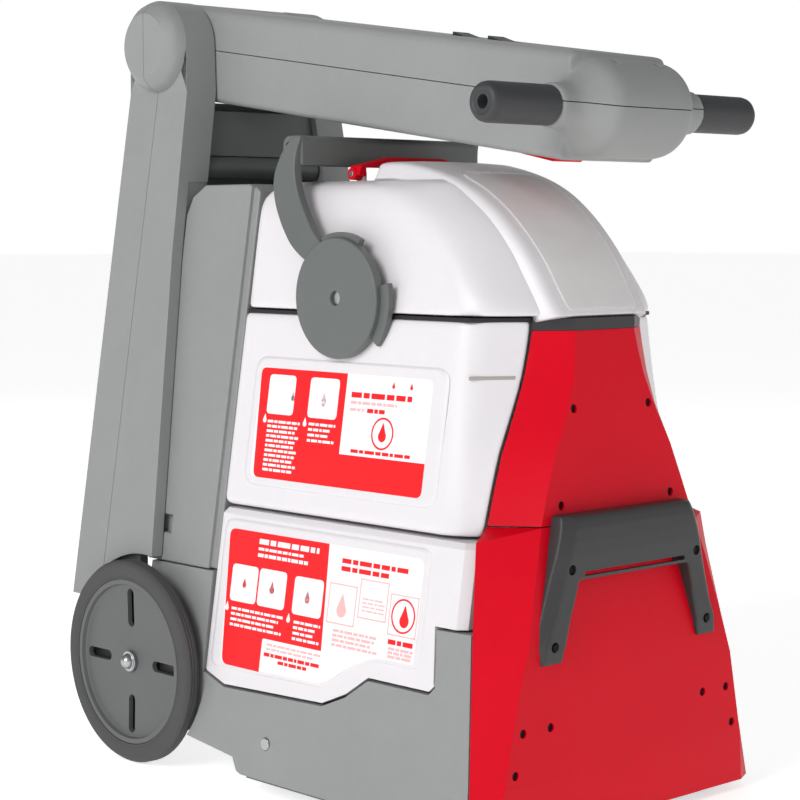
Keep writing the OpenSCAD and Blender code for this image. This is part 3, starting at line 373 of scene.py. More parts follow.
def build_materials(s):
    """Every finish of the machine, keyed by the record's material slot or by the piece that it is for."""
    return {
        # ABS, moulded with a fine matt texture: even mid grey, soft broad highlights
        "grey_plastic": moulded("abs_moulded_matt_grey", s.grey, 0.48),
        # Glass-filled nylon, moulded: darker grey, tighter highlight on the load-bearing bail
        "dark_grey_plastic": moulded("filled_nylon_moulded_dark_grey", s.dark_grey, 0.4, grain=1.0),
        # ABS, moulded and polished in the mould: strong red with a slight sheen
        "red_plastic": moulded("abs_moulded_satin_red", s.red, 0.46, bump=0.04, mottle=0.04, specular=0.14),
        # ABS, moulded black: soft sheen, hides its seams; also the black discs behind the wheel hubs, which are
        # painted shade in the hub slots
        "black_plastic": moulded("abs_moulded_black", "#2b2b2d", 0.45),
        # Filled nylon, moulded charcoal with spark texture, for the front handle
        "charcoal_plastic": moulded("filled_nylon_moulded_charcoal", "#323233", 0.46, grain=1.4, bump=0.1),
        # Polyethylene, blow moulded: milky white, light passes into it, satin skin
        "white_tank": moulded(
            "polyethylene_blow_moulded_white", s.white, 0.34, grain=2.5, bump=0.03, mottle=0.015, milky=0.12
        ),
        # Polycarbonate, moulded clear: the white below shows through, slightly dulled
        "clear_window": smoked_polycarbonate(),
        # Vinyl film, printed and laminated: flat white under a smooth satin skin
        "label_paper": moulded("vinyl_printed_white", "#f0eef0", 0.36, grain=0.8, bump=0.01, mottle=0.006),
        # The same film in red ink: strong and flat, with less shine than the covers
        "label_red": moulded(
            "vinyl_printed_red", "#f40a16", 0.36, grain=0.8, bump=0.01, mottle=0.01, specular=0.3
        ),
        # The same film in fine dots of red: reads as pale pink
        "label_pink": moulded(
            "vinyl_printed_halftone_red", "#eeb4b4", 0.36, grain=0.8, bump=0.01, mottle=0.02
        ),
        # Ink, stamped on the tank: thin grey-brown line
        "label_grey": moulded("ink_stamped_grey_brown", "#a39c98", 0.5, grain=0.8, bump=0.01, mottle=0.04),
        # Polypropylene, moulded: dark grey wheel disc with a dull shine
        "wheel_plastic": moulded("polypropylene_moulded_dark_grey", "#5b5d5c", 0.5),
        # Rubber, moulded and buffed: grey-black tread with a dusty bloom
        "tyre_rubber": moulded(
            "rubber_moulded_tread", "#4a4a4a", 0.72, grain=1.6, bump=0.2, mottle=0.1, specular=0.3
        ),
        # Rubber, moulded: near black, dull
        "black_rubber": moulded("rubber_moulded_black", "#242426", 0.62, grain=1.2, bump=0.1, specular=0.35),
        # Thermoplastic rubber, moulded over the tube: charcoal, slightly shiny from hands
        "grip_rubber": moulded("soft_rubber_overmoulded_charcoal", "#333436", 0.5, grain=1.5, bump=0.12),
        # Nylon, drawn: dark, with a soft shine along the roll
        "brush_nylon": moulded("nylon_drawn_bristle", "#3a3d42", 0.42, grain=0.8),
        # Steel, stamped and zinc plated: bright, finely mottled
        "bright_steel": metal("steel_zinc_plated", "#b8babc", 0.3),
        # Steel, stamped and blackened: dark with small highlights
        "black_steel": metal("steel_black_oxide", "#1d1d1f", 0.42),
        # Aluminium, pressed: pale, softer gloss than the zinc
        "aluminium": metal("aluminium_pressed", "#b9bcc0", 0.36),
        # Brass, turned: warm yellow with fine close marks
        "brass": metal("brass_turned", "#b58a3c", 0.3, pitch=0.8),
        # Iron, sand cast: dull grey, coarse and uneven
        "cast_motor": metal("iron_cast_grey", "#56595c", 0.6, pitch=2.0),
    }


MATERIALS = {}


# ---- Settings ----


class CLEANER_PG_finish(bpy.types.PropertyGroup):
    """Colours of the main mouldings, as sRGB hex codes."""

    grey: bpy.props.StringProperty(
        name="Housing grey",
        description="sRGB colour of the handles and housings",
        default="#8b8d8c",
    )
    dark_grey: bpy.props.StringProperty(
        name="Bail grey",
        description="sRGB colour of the carry bail",
        default="#5f6361",
    )
    red: bpy.props.StringProperty(
        name="Cover red",
        description="sRGB colour of the front covers",
        default="#d2001d",
    )
    white: bpy.props.StringProperty(
        name="Tank white",
        description="sRGB colour of the tanks and lid",
        default="#dddadd",
    )


class CLEANER_PG_stage(bpy.types.PropertyGroup):
    """The camera's lens and the strength of the lights."""

    lens: bpy.props.FloatProperty(
        name="Lens",
        description="Focal length of the camera, in millimetres",
        default=95.2,
        min=30,
        max=200,
    )
    key: bpy.props.FloatProperty(
        name="Key light",
        description="Power of the large soft light",
        default=62.0,
        min=0,
        unit="POWER",
    )
    fill: bpy.props.FloatProperty(
        name="Fill light",
        description="Power of the fill light",
        default=6.0,
        min=0,
        unit="POWER",
    )
    glow: bpy.props.FloatProperty(
        name="Floor glow",
        description="How much the floor shines by itself, to stay pale",
        default=0.7,
        min=0,
    )
    horizon: bpy.props.FloatProperty(
        name="Horizon",
        description="Strength of the surround at eye level",
        default=1.0,
        min=0,
    )
    zenith: bpy.props.FloatProperty(
        name="Overhead",
        description="Strength of the surround overhead",
        default=0.32,
        min=0,
    )
    floor: bpy.props.StringProperty(
        name="Floor",
        description="sRGB colour of the floor",
        default="#f2f2f2",
    )


# ---- Operators ----


CAMERA_AT = (-1.220, -1.30418, 0.45689)
CAMERA_DOWN, CAMERA_TURN = 4.64, 43.18


class CLEANER_OT_stage(bpy.types.Operator):
    """Sets the camera, the pale floor and the soft lights."""

    bl_idname = "cleaner.stage"
    bl_label = "Camera and Stage"

    def execute(self, context):
        s = context.scene.cleaner_stage
        scene = context.scene
        cam = bpy.data.objects.new("camera", bpy.data.cameras.new("camera"))
        scene.collection.objects.link(cam)
        cam.data.lens, cam.data.sensor_width = s.lens, 36
        cam.data.clip_end = 100
        cam.location = (CAMERA_AT[0], CAMERA_AT[1] + SHIFT_Y * MM, CAMERA_AT[2])
        cam.rotation_euler = (math.radians(90 - CAMERA_DOWN), 0, math.radians(-CAMERA_TURN))
        scene.camera = cam
        # Vinyl sheet, calendered: pale and nearly even, with soft shadows
        floor_mat = moulded(
            "vinyl_floor_calendered_pale", s.floor, 0.6, grain=3, bump=0.01, mottle=0.004, glow=s.glow
        )
        mesh = bpy.data.meshes.new("floor")
        mesh.from_pydata([(-30, -30, 0), (30, -30, 0), (30, 30, 0), (-30, 30, 0)], [], [(0, 1, 2, 3)])
        mesh.materials.append(floor_mat)
        floor = bpy.data.objects.new("floor", mesh)
        scene.collection.objects.link(floor)
        for name, place, size, power in (
            ("key", (-3.0, -0.4, 1.9), 1.6, s.key),
            ("fill", (0.6, -3.2, 1.5), 2.4, s.fill),
            ("back", (1.8, 2.6, 2.2), 2.0, s.fill),
        ):
            lamp = bpy.data.objects.new(name, bpy.data.lights.new(name, "AREA"))
            lamp.data.energy, lamp.data.size = power, size
            scene.collection.objects.link(lamp)
            lamp.location = place
            lamp.rotation_euler = (Vector((0, 0, 0.3)) - Vector(place)).to_track_quat("-Z", "Y").to_euler()
        world = bpy.data.worlds.new("studio")
        world.use_nodes = True
        sky = world.node_tree
        up = add(sky, "SeparateXYZ", {"Vector": add(sky, "TexCoord").outputs["Generated"]}).outputs["Z"]
        fade = add(
            sky,
            "MapRange",
            {"Value": up, "From Min": 0.12, "From Max": 0.24, "To Min": s.horizon, "To Max": s.zenith},
        )
        sky.nodes["Background"].inputs["Color"].default_value = (1, 1, 1, 1)
        sky.links.new(fade.outputs["Result"], sky.nodes["Background"].inputs["Strength"])
        scene.world = world
        scene.view_settings.view_transform = "Standard"
        return {"FINISHED"}


# Edge radii of the carried-over mouldings, in millimetres
CAD_EDGES = {"white_tank": 2.5, "grey_plastic": 2.5, "dark_grey_plastic": 1.5, "red_plastic": 1.6}


class CLEANER_OT_mouldings(bpy.types.Operator):
    """Gives every carried-over part its finish and its moulded edge radii."""

    bl_idname = "cleaner.mouldings"
    bl_label = "Mouldings"

    def execute(self, context):
        where = {row["node"]: row["material_slot"] for row in frame["record"]["subparts"]}
        missing = sorted(set(frame["nodes"]) - set(where))
        if missing:
            raise RuntimeError(f"no finish for {missing}")
        for name, obj in frame["nodes"].items():
            obj.data.materials.clear()
            obj.data.materials.append(MATERIALS[where[name]])
            weld = obj.modifiers.new("weld", "WELD")
            weld.merge_threshold = 1e-6
            flat = obj.modifiers.new("flat faces", "DECIMATE")
            flat.decimate_type = "DISSOLVE"
            flat.angle_limit = math.radians(1.0)
            finish_edges(obj, CAD_EDGES.get(where[name], 0.6), angle=30)
        return {"FINISHED"}


LID_LOW, LID_TOP = 390.0, 495.0


def lid_height(t):
    """Height of the lid at a share from its foot to its top."""
    return LID_LOW + t * (LID_TOP - LID_LOW)


LID_SIDE_FRONT = smooth_table(
    [(0, -195), (0.14, -190), (0.36, -172), (0.65, -142), (0.86, -110), (0.96, -84), (1, -66)]
)
LID_BAND_FRONT = smooth_table([(0, -227), (0.2, -214), (0.45, -197), (0.7, -173), (0.9, -145), (1, -127)])
LID_SHOULDER = smooth_table([(0, 0), (0.7, 0), (0.84, 1.2), (0.92, 4), (0.97, 8.5), (1, 16)])
LID_REAR = smooth_table([(0, 0), (0.75, 0), (0.9, 4), (1, 16)])
BAND_LINE = flow(
    [(-46, 509.4), (-56, 509.9), (-68, 509.7), (-84, 507.5), (-110, 501.5), (-134, 493), (-156, 481),
     (-180, 462), (-204, 436), (-221, 410), (-230, 396), (-232, 391)],
    4,
)


def along_band(section, first=0, last=None):
    """Sweeps a section of (x, height) rows, given by its place on the band, down the band's line."""
    line = BAND_LINE[first:last]
    rings = []
    for i, p in enumerate(line):
        a, b = line[max(i - 1, 0)], line[min(i + 1, len(line) - 1)]
        run = (b - a).normalized()
        out = Vector((run[1], -run[0]))
        share = i / (len(line) - 1)
        rings.append([at(x, p[0] + h * out[0], p[1] + h * out[1]) for x, h in section(share)])
    return lofted(rings)


class CLEANER_OT_lid(bpy.types.Operator):
    """Builds the domed lid, its raised band and the window in it."""

    bl_idname = "cleaner.lid"
    bl_label = "Tank Lid"

    def execute(self, context):
        rings = []
        levels = [(0.012, 1.6), (0.022, 0.5), (0.045, 0.0)] + [(k / 24, 0.0) for k in range(2, 25)]
        for t, inset in levels:
            z = lid_height(t)
            x = half_width(z) - LID_SHOULDER(t) - inset
            rear = 75 - LID_REAR(t) - inset
            side, front = LID_SIDE_FRONT(t) + inset, LID_BAND_FRONT(t) + inset
            bx = min(50 + 12 * t, x - 12)
            outline = rounded(
                [(x, rear), (x, side), (bx, front), (-bx, front), (-x, side), (-x, rear)],
                [14, 34, 22, 22, 34, 14],
                8,
            )
            rings.append([at(u, v, z) for u, v in outline])
        y, z = BAIL_PIVOT
        trunnion = turned([(10, 0), (10, 12)], lambda u, v, w: at(half_width(z) - 3 + w, y + u, z + v), 32)
        lug = slab(
            rounded([(-21, 494), (-13, 494), (-13, 505), (-21, 505)], [0.5, 0.5, 3.5, 3.5]),
            lambda y, z, w: at(w, y, z),
            53,
            57,
        )
        piece("lid_dome", [lofted(rings)] + mirrored([trunnion, lug]), "white_tank", replaces=["tank_lid"])

        def band(share):
            w = 64 - 13 * share**0.8 - 4 * (1 - min(1, share / 0.06)) ** 2
            half = [(w + 9, -16), (w + 5.5, -10.5), (w + 3, -6), (w + 1.2, -2.8), (w - 1.5, -1), (w - 6, 0)]
            half.append((w * 0.5, 0.8))
            return half + [(0, 1.0)] + [(-x, h) for x, h in reversed(half)] + [(0, -18)]

        piece("lid_band", [along_band(band)], "white_tank")

        def pane(share):
            ease = min(1.0, share / 0.12, (1 - share) / 0.06)
            w = (45 - 6 * share) - 6 * (1 - ease) ** 2
            top = 1.9
            half = [(w, -0.5), (w, top - 0.8), (w - 1, top - 0.1), (w * 0.5, top + 0.55)]
            return half + [(0, top + 0.75)] + [(-x, h) for x, h in reversed(half)]

        piece("lid_window_pane", [along_band(pane, 17, -3)], "clear_window", replaces=["lid_window"])
        return {"FINISHED"}


BACK_EDGE = smooth_table(
    [(220, 112), (237, 109), (263, 102), (289, 94), (314, 83), (340, 72), (366, 65), (390, 61)]
)


class CLEANER_OT_tank(bpy.types.Operator):
    """Builds the dirty water tank's blow-moulded body and the label fields."""

    bl_idname = "cleaner.tank"
    bl_label = "Dirty Water Tank"

    def execute(self, context):
        rows = [(228.5, 5), (229.3, 3), (230.8, 1.3), (232.8, 0.4), (235.5, 0)]
        rows += [(z, 0) for z in range(246, 384, 9)] + [(384.5, 0.3), (386, 1.1), (387, 2.4)]
        rings = []
        for z, inset in rows:
            x, bx = half_width(z) - inset, BACK_EDGE(z) + 0.8
            outline = rounded(
                [
                    (x, 75 - inset), (x, -190), (bx, -214 + inset), (bx - 6, -205),
                    (6 - bx, -205), (-bx, -214 + inset), (-x, -190), (-x, 75 - inset),
                ],
                [9, 20, 4, 2, 2, 4, 20, 9],
                7,
            )
            rings.append([at(u, v, z) for u, v in outline])
        piece("dirty_tank_body", [lofted(rings)], "white_tank", replaces=["dirty_tank"], angle=60)
        field = rounded([(50, 352), (-178, 352), (-178, 247), (50, 247)], [14, 14, 14, 14], 6)
        low = [(66, 218), (-180, 218), (-180, 128), (-128, 128), (-96, 112), (-76, 99), (66, 96)]
        low = rounded(low, [10] * 7, 6)
        plates = []
        for outline in (field, low):
            mid = Vector([sum(p[i] for p in outline) / len(outline) for i in (0, 1)])
            rings = []
            for grow, off in ((0, -0.8), (0, 0.0), (-1.2, 0.35), (-2.8, 1.0), (-4.5, 1.2)):
                ring = []
                for p in outline:
                    away = Vector(p) - mid
                    q = Vector(p) + grow * away.normalized()
                    ring.append(side_point(q[0], q[1], off))
                rings.append(ring)
            plates.append(lofted(rings))
        piece("tank_label_fields", mirrored(plates), "white_tank", angle=80)
        return {"FINISHED"}


def beam_point(x, y, z):
    """A point of the folded beam's own frame, with its origin on the fold axis."""
    c, s = math.cos(DROOP), math.sin(DROOP)
    return at(x, HUB[0] + y * c - z * s, HUB[1] + y * s + z * c)


BEAM_HALF, BEAM_TOP, BEAM_LOW, BEAM_LEN, TEE_Z = 54.2, 38.0, -43.0, 466.0, -2.5
BARREL = [(16.8, 80), (17, 79), (17, 68), (17.6, 63), (20, 58), (24.5, 53), (29.5, 48.5), (33.5, 44.5)]
BARREL += [(36, 40), (37, 34)]


def box(left, right, low, high, round_by=0.0):
    """An upright rectangle in (y, z), with rounded corners if asked."""
    corners = [(left, high), (right, high), (right, low), (left, low)]
    return rounded(corners, [round_by] * 4, 4) if round_by else corners


# Lengths of the bars that stand in for words, in millimetres
WORDS = (7, 4, 9, 5, 6, 3, 8, 5, 10, 4)
# Height of the label's face over the moulding, and the depth of each layer, in millimetres
LABEL_TOP = 1.2
PAPER_DEEP, FIELD_DEEP, PRINT_DEEP, WHITE_DEEP = 0.32, 0.2, 0.28, 0.18


def lines(left, right, high, low, count, tall, scale=1.0, ragged=0.0):
    """Rows of short bars that stand in for small print; the last bar of each row is cut at the margin."""
    bars = []
    for k in range(count):
        z = high - (high - low) * (k / max(count - 1, 1))
        y, n, stop = left, 3 * k, right + ragged * (k % 3)
        while y - 1.5 > stop:
            end = max(y - WORDS[n % len(WORDS)] * scale, stop)
            bars.append(box(y, end, z - tall / 2, z + tall / 2))
            y, n = end - 1.3 * scale, n + 1
    return bars


def drop(y, z, r):
    """The outline of a water drop."""
    turn = [math.radians(-220 + 260 * k / 20) for k in range(21)]
    return [(y + r * math.cos(t), z + r * math.sin(t)) for t in turn] + [(y, z + 2.4 * r)]


def stuck(outlines, off, thick):
    """Thin plates on the left side's leaning face."""
    return [slab(o, lambda y, z, w: at(-half_width(z) - w, y, z), off, off + thick) for o in outlines]


def ring_on_side(y, z, r, width, off, thick):
    """A flat ring on the left side's leaning face."""
    rows = [(r - width, off), (r, off), (r, off + thick), (r - width, off + thick)]
    return turned(rows, lambda u, v, w: at(-half_width(z + v) - w, y + u, z + v), 48, loop=True)


def frame_lines(left, right, low, high, width):
    """Four bars round a rectangle."""
    return [
        box(left, right, high - width, high), box(left, right, low, low + width),
        box(left, left - width, low, high), box(right + width, right, low, high),
    ]


class CLEANER_OT_labels(bpy.types.Operator):
    """Lays the printed labels on the left side, with bars for small print and plain pictograms."""

    bl_idname = "cleaner.labels"
    bl_label = "Labels"

    def execute(self, context):
        paper = [box(41, -162, 254, 343, 6)]
        low = [(58, 210), (-174, 210), (-174, 131), (-129, 131), (-99, 117), (-77, 102), (52, 100)]
        paper.append(rounded(low, [7, 7, 4, 14, 20, 14, 7], 5))
        upper = [(41, 343), (-65, 343), (-65, 280), (-162, 280), (-162, 254), (37, 254)]
        lower = [(58, 210), (-66, 210), (-70, 127), (2, 127), (2, 100), (50, 100)]
        red = [rounded(upper, [6, 0.4, 0.4, 0.4, 6, 6], 5), rounded(lower, [7, 0.4, 0.4, 2, 0.4, 7], 5)]
        boxes = [(29, -4, 306, 338), (-22, -57, 306, 338)]
        boxes += [(49, 16, 152, 182), (14, -20, 152, 182), (-30, -65, 151, 181)]
        white = [box(*b, round_by=4) for b in boxes]
        white += [drop(y, z, 2.2) for y, z in ((30, 300.6), (-20, 300.6), (51, 145.6), (-27, 145.6))]
        white += lines(26, -14, 300, 261, 11, 2.1, ragged=2.5) + lines(-25, -57, 301, 288, 4, 2.1, ragged=4)
        white += lines(19, -55, 203, 203, 1, 4.2, 1.7)
        white += lines(19, -37, 197, 197, 1, 2.2) + lines(19, -43, 192, 192, 1, 2.8)
        white += lines(45, -20, 146, 133, 4, 2.1, ragged=5) + lines(-34, -66, 145, 132, 4, 2.1, ragged=4)
        ink = [drop(-2, 320, 2.4), drop(-40, 319, 3.4), drop(32, 166, 2.4)]
        ink += [drop(-3, 166, 3), drop(-47, 164, 3)]
        ink += [drop(-119, 335.4, 1.5), drop(-139, 335.4, 1.5)]
        ink += lines(-72, -144, 327, 327, 1, 4.2, 1.7) + lines(-92, -112, 315.5, 315.5, 1, 3.2)
        ink += lines(-78, -147, 283.6, 283.6, 1, 2.6, 1.2) + [drop(-112, 297, 4.4)]
        ink += lines(-83, -159, 199, 199, 1, 3.6, 1.5) + lines(-83, -140, 193, 193, 1, 3.6, 1.5)
        ink += lines(-144, -172, 145, 145, 1, 3.6, 1.2)
        ink += lines(-2, -72, 115, 115, 1, 2.8) + lines(-20, -55, 110.6, 110.6, 1, 2.6)
        ink += [drop(-159, 162, 5)]
        faint = lines(-72, -125, 321, 321, 1, 2.2) + lines(-72, -88, 315.5, 315.5, 1, 2.2)
        faint += lines(-81, -133, 145, 134, 4, 2, ragged=4) + lines(-145, -172, 140, 134, 3, 2)
        faint += lines(-4, -70, 123, 119.6, 2, 1.6, ragged=8)
        faint += frame_lines(-72, -104, 150, 181, 0.9) + frame_lines(-107, -139, 158, 188, 0.9)
        faint += frame_lines(-142, -173, 150, 181, 0.9) + lines(-111, -136, 173, 164, 4, 1.1)
        faint += [drop(-88, 161, 5.5)]
        top = LABEL_TOP
        piece("label_papers", stuck(paper, top - 0.2, PAPER_DEEP), "white_tank", finish="label_paper")
        piece("label_red_fields", stuck(red, top, FIELD_DEEP), "red_plastic", finish="label_red")
        piece("label_white_print", stuck(white, top + 0.1, WHITE_DEEP), "white_tank", finish="label_paper")
        rings = [ring_on_side(-112, 299, 12.5, 1.5, top, PRINT_DEEP)]
        rings.append(ring_on_side(-157.5, 165.5, 13, 1.4, top, PRINT_DEEP))
        piece("label_red_print", stuck(ink, top, PRINT_DEEP) + rings, "red_plastic", finish="label_red")
        piece("label_faint_print", stuck(faint, top, PRINT_DEEP), "white_tank", finish="label_pink")

        def chamfer(share, z, off):
            x, bx = half_width(z), BACK_EDGE(z) + 0.8
            y, by = -190.0, -214.0
            away = Vector((x - bx, by - y)).normalized()
            along, back = x + (bx - x) * share, y + (by - y) * share
            return at(-along - off * abs(away[1]), back - off * abs(away[0]), z)

        outline = [(0.12, 344), (0.88, 344), (0.88, 346.6), (0.12, 346.6)]
        piece("full_mark", [slab(outline, chamfer, -0.4, 0.35)], "white_tank", finish="label_grey")
        return {"FINISHED"}


class CLEANER_OT_upper_handle(bpy.types.Operator):
    """Builds the folding beam, its tee barrel and the rubber grips."""

    bl_idname = "cleaner.upper_handle"
    bl_label = "Upper Handle"

    def execute(self, context):
        w = BEAM_HALF
        section = rounded([(-w, BEAM_LOW), (w, BEAM_LOW), (w, BEAM_TOP), (-w, BEAM_TOP)], [6, 6, 9, 9], 5)
        beam = lofted([[beam_point(x, y, z) for x, z in section] for y in (-BEAM_LEN + 6, 0)])
        knuckle = turned([(39.6, -BEAM_HALF), (39.6, BEAM_HALF)], lambda u, v, w: beam_point(w, u, v), 96)
        profile = BARREL + [(r, -x) for r, x in reversed(BARREL)]
        tee = turned(profile, lambda u, v, w: beam_point(w, u - BEAM_LEN, v + TEE_Z), 96)
        body = fused([beam, knuckle, tee], 2.0, 6)
        cuts = []
        for x in (-24, 24):
            place = lambda u, v, w: beam_point(x + u, -BEAM_LEN - 12 + v, TEE_Z + w)
            cuts.append(turned([(4.6, 25), (4.6, 60)], place, 32))
        for y in (-300, -340):
            outline = rounded([(-9.5, y - 14), (9.5, y - 14), (9.5, y + 14), (-9.5, y + 14)], [2] * 4, 3)
            cuts.append(slab(outline, lambda u, v, w: beam_point(u, v, w), BEAM_TOP - 12, BEAM_TOP + 9))
        outline = rounded([(-17, -427), (17, -427), (17, -371), (-17, -371)], [3] * 4, 3)
        cuts.append(slab(outline, lambda u, v, w: beam_point(u, v, w), BEAM_LOW - 6, BEAM_LOW + 7))
        carved(body, cuts)
        middle = Vector(beam_point(0, 0, 2.0))
        up = Vector(beam_point(0, 0, 3.0)) - middle
        up.normalize()
        for name, node, sign in (
            ("upper_handle_shell_top", "upper_handle_top", 1),
            ("upper_handle_shell_low", "upper_handle_bottom", -1),
        ):
            bm = bmesh.new()
            bm.from_mesh(body.data)
            cut = bmesh.ops.bisect_plane(
                bm,
                geom=bm.verts[:] + bm.edges[:] + bm.faces[:],
                plane_co=middle + up * (0.35 * MM * sign),
                plane_no=up * sign,
                clear_inner=True,
            )
            edges = [e for e in cut["geom_cut"] if isinstance(e, bmesh.types.BMEdge)]
            bmesh.ops.holes_fill(bm, edges=edges)
            mesh = bpy.data.meshes.new(name)
            bm.to_mesh(mesh)
            bm.free()
            half = bpy.data.objects.new(name, mesh)
            context.scene.collection.objects.link(half)
            finish_edges(half, 0.5, 2, 50)
            dress(half, name, MATERIALS["grey_plastic"], "upper_handle", [node])
        bpy.data.objects.remove(body)
        grip = [(14.2, 80.4), (15, 81.4), (15, 142), (14.4, 145.6), (12.8, 148), (10.6, 149)]
        grip += [(9.4, 148.9), (8.9, 148.2), (8.2, 148.2), (5.4, 148.2), (5, 147.6), (5, 126)]
        grips = turned(grip, lambda u, v, w: beam_point(w, u - BEAM_LEN, v + TEE_Z), 64)
        piece("rubber_grips", mirrored([grips]), "grip_rubber", "upper_handle", ["grips"])
        return {"FINISHED"}


COVER_RIDGE = smooth_table([(130, -250), (150, -248), (170, -246.5), (200, -244), (235, -241), (250, -238)])
FACE_LINE = smooth_table([(137, -263.4), (150, -264.6), (197, -266), (220, -267.5), (238, -266), (245, -263)])
SIDE_LINE = smooth_table([(137, 102), (150, 103), (200, 88), (245, 74)])
INNER_LINE = smooth_table([(137, 79), (165, 72), (190, 65), (197, 62)])


class CLEANER_OT_front_handle(bpy.types.Operator):
    """Builds the charcoal carry handle on the front cover, with its flanks, screw holes and groove."""

    bl_idname = "cleaner.front_handle"
    bl_label = "Front Handle"

    def execute(self, context):
        legs, bar = [], []
        for z in (137, 150, 163, 176, 189, 200):
            out, inner, face, back = SIDE_LINE(z), INNER_LINE(min(z, 197)), FACE_LINE(z), COVER_RIDGE(z) + 3
            share = min(1, (z - 137) / 30)
            flank = 3 + 6 * share
            ring = [(inner, back), (inner, face), (out - flank, face), (out, face + 7), (out, back)]
            legs.append([at(x, y, z) for x, y in ring])
        for z in (197, 206, 216, 226, 236, 242, 245):
            out, face, back = SIDE_LINE(z), FACE_LINE(z), COVER_RIDGE(z) + 3
            flank = face + 7
            ring = [(-out, back), (-out, flank), (9 - out, face), (out - 9, face), (out, flank), (out, back)]
            bar.append([at(x, y, z) for x, y in ring])
        body = fused(mirrored([lofted(legs)]) + [lofted(bar)], 1.1, 5)
        cuts = [slab(box(-58, 58, 200, 203.4, 1.6), lambda x, z, w: at(x, w, z), -280, FACE_LINE(202) + 3.4)]
        for x, z in ((72, 206), (88, 150)):
            bore = [(3.9, -290), (3.9, -246)]
            cuts += mirrored([turned(bore, lambda u, v, w: at(x + u, w, z + v), 40)])
        hollow = [(-263, 120), (-263, 212), (-256, 231), (-236, 231), (-236, 120)]
        cuts.append(slab(hollow, lambda y, z, w: at(w, y, z), -57, 57))
        carved(body, cuts)
        finish_edges(body, 0.5, 2, 40)
        slot = "charcoal_plastic"
        dress(body, "front_handle_body", MATERIALS[slot], "root", ["front_carry_handle"])
        return {"FINISHED"}


BAIL_PIVOT = (-54.0, 402.0)
DISC_OUT = 117.5


class CLEANER_OT_bail(bpy.types.Operator):
    """Builds the carry bail: curved straps, hollow bar, pivot discs and cam tabs."""

    bl_idname = "cleaner.bail"
    bl_label = "Carry Bail"

    def execute(self, context):
        rear = [(5, 532), (16, 528.5), (25, 519), (30, 508), (32, 498), (30.5, 488), (25, 474), (12, 455)]
        rear = flow(rear + [(-4, 439), (-22, 428)], 5)
        front = [(-36, 445), (-22, 457), (-9, 473), (1, 488), (6.5, 502), (8, 513), (6.5, 523), (5, 528)]
        front = flow(front, 5)
        outline = [tuple(p) for p in rear] + [tuple(p) for p in front]
        beside = lambda y, z, w: at(min(half_width(z) + w, DISC_OUT - 1.3), y, z)
        strap = slab(outline, beside, 12, 20)
        channel = rounded(
            [(5, 532), (29, 532), (29, 508), (25.5, 508), (25.5, 527), (8.5, 527), (8.5, 508), (5, 508)],
            [6, 9, 1, 1, 4, 4, 1, 1],
            5,
        )
        bar = slab(channel, lambda y, z, w: at(w, y, z), -100, 100)
        place = lambda u, v, w: at(w, BAIL_PIVOT[0] + u, BAIL_PIVOT[1] + v)
        disc = turned(
            [
                (5.6, 112), (5.6, 116.9), (6.2, DISC_OUT), (46.4, DISC_OUT), (47.6, 116.9), (48, 115.8),
                (48, 109.6), (47, 108.8), (18, 108.6), (18, 106), (10.5, 106), (10.5, 112),
            ],
            place,
            96,
            loop=True,
        )
        collar = sector(24, 52, 62, 128, lambda u, v, w: place(-u, v, w), 106.8, 113)
        tab = sector(24, 57, -40, 13, lambda u, v, w: place(-u, v, w), 106.8, 112.4)
        grey = "dark_grey_plastic"
        piece("bail_straps", mirrored([strap]), grey, "bail", ["carry_bail"], bevel=2.6, segments=4, angle=40)
        piece("bail_bar", [bar], grey, "bail", bevel=0.8)
        piece("bail_discs", mirrored([disc, collar, tab]), grey, "bail", bevel=0.6, angle=50)
        return {"FINISHED"}


WHEEL_IN, WHEEL_OUT = 153.0, 168.0


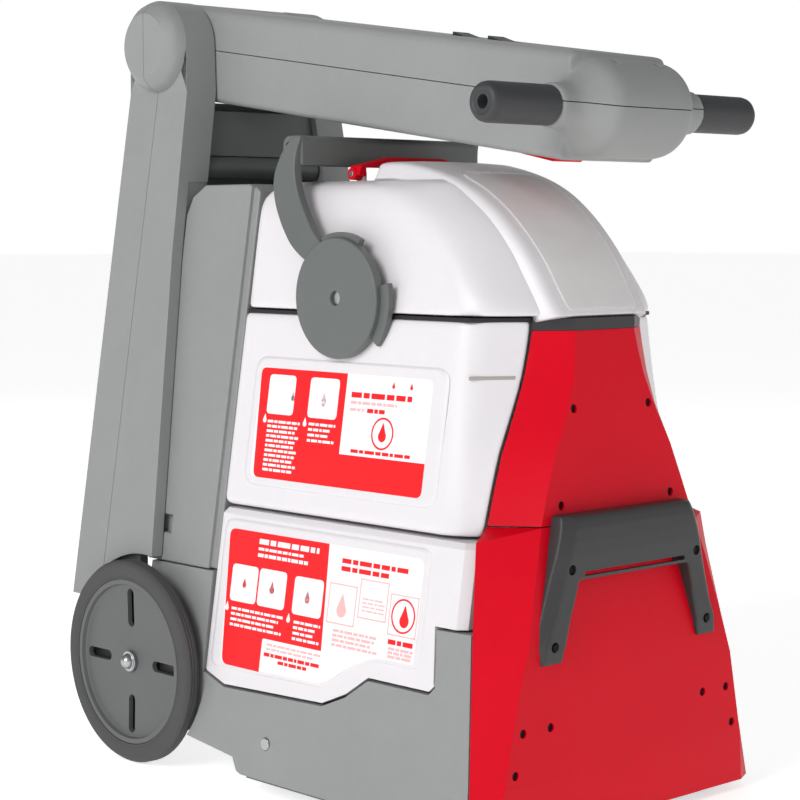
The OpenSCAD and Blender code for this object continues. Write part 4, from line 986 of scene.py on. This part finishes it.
class CLEANER_OT_wheels(bpy.types.Operator):
    """Builds the rubber tyres, with rounded shoulders and tread grooves, and behind each hub a black disc: painted
    shade that keeps the hub's slots dark.
    """

    bl_idname = "cleaner.wheels"
    bl_label = "Tyres"

    def execute(self, context):
        a, b = WHEEL_IN, WHEEL_OUT
        tread = [(70.7, a + 0.8), (71.5, a + 0.2), (80, a + 0.3), (84, a + 1.6), (86.4, a + 3.6)]
        for x in (a + 4.6, a + 7.4, a + 10.2):
            tread += [(87, x - 0.7), (86.1, x - 0.35), (86.1, x + 0.35), (87, x + 0.7)]
        tread += [(86.2, b - 3), (85.2, b - 1.4), (83.6, b - 0.4), (81.6, b), (74.5, b - 0.1)]
        tread += [(73.6, b - 0.7), (72.8, b - 0.7), (72, b - 0.1), (71.2, b - 0.3), (70.7, b - 1)]
        # A flat black ring behind each hub: painted shade, standing in for the shaded recess seen through the
        # hub's slots
        back = [(22, a + 0.2), (66.5, a + 0.2), (66.5, a + 1.2), (22, a + 1.2)]
        for side, sign in (("left", 1), ("right", -1)):
            place = lambda u, v, w: at(sign * w, AXLE_BACK + u, AXLE_UP + v)
            tyre = turned(tread, place, 128, loop=True)
            piece("tyre_" + side, [tyre], "tyre_rubber", "wheel_" + side, ["wheel_tyre_" + side])
            disc = turned(back, place, 64, loop=True)
            piece("wheel_shade_disc_" + side, [disc], "black_plastic", "wheel_" + side)
        return {"FINISHED"}


class CLEANER_PT_panel(bpy.types.Panel):
    """Sizes, colours and build steps of the carpet cleaner."""

    bl_label = "Carpet Cleaner"
    bl_idname = "CLEANER_PT_panel"
    bl_space_type = "VIEW_3D"
    bl_region_type = "UI"
    bl_category = "Carpet Cleaner"

    def draw(self, context):
        for group in (context.scene.cleaner_finish, context.scene.cleaner_stage):
            for key in group.__annotations__:
                self.layout.prop(group, key)
        for step in STEPS:
            self.layout.operator(step.bl_idname)


GROUPS = (CLEANER_PG_finish, CLEANER_PG_stage)
STEPS = (
    CLEANER_OT_stage,
    CLEANER_OT_mouldings,
    CLEANER_OT_lid,
    CLEANER_OT_tank,
    CLEANER_OT_labels,
    CLEANER_OT_upper_handle,
    CLEANER_OT_front_handle,
    CLEANER_OT_bail,
    CLEANER_OT_wheels,
)
CLASSES = GROUPS + STEPS + (CLEANER_PT_panel,)


def register():
    for cls in CLASSES:
        bpy.utils.register_class(cls)
    bpy.types.Scene.cleaner_finish = bpy.props.PointerProperty(type=CLEANER_PG_finish)
    bpy.types.Scene.cleaner_stage = bpy.props.PointerProperty(type=CLEANER_PG_stage)


def unregister():
    del bpy.types.Scene.cleaner_stage
    del bpy.types.Scene.cleaner_finish
    for cls in reversed(CLASSES):
        bpy.utils.unregister_class(cls)


def main():
    register()
    MATERIALS.update(build_materials(bpy.context.scene.cleaner_finish))
    for step in STEPS:
        group, call = step.bl_idname.split(".")
        getattr(getattr(bpy.ops, group), call)()


if __name__ == "__main__":
    main()
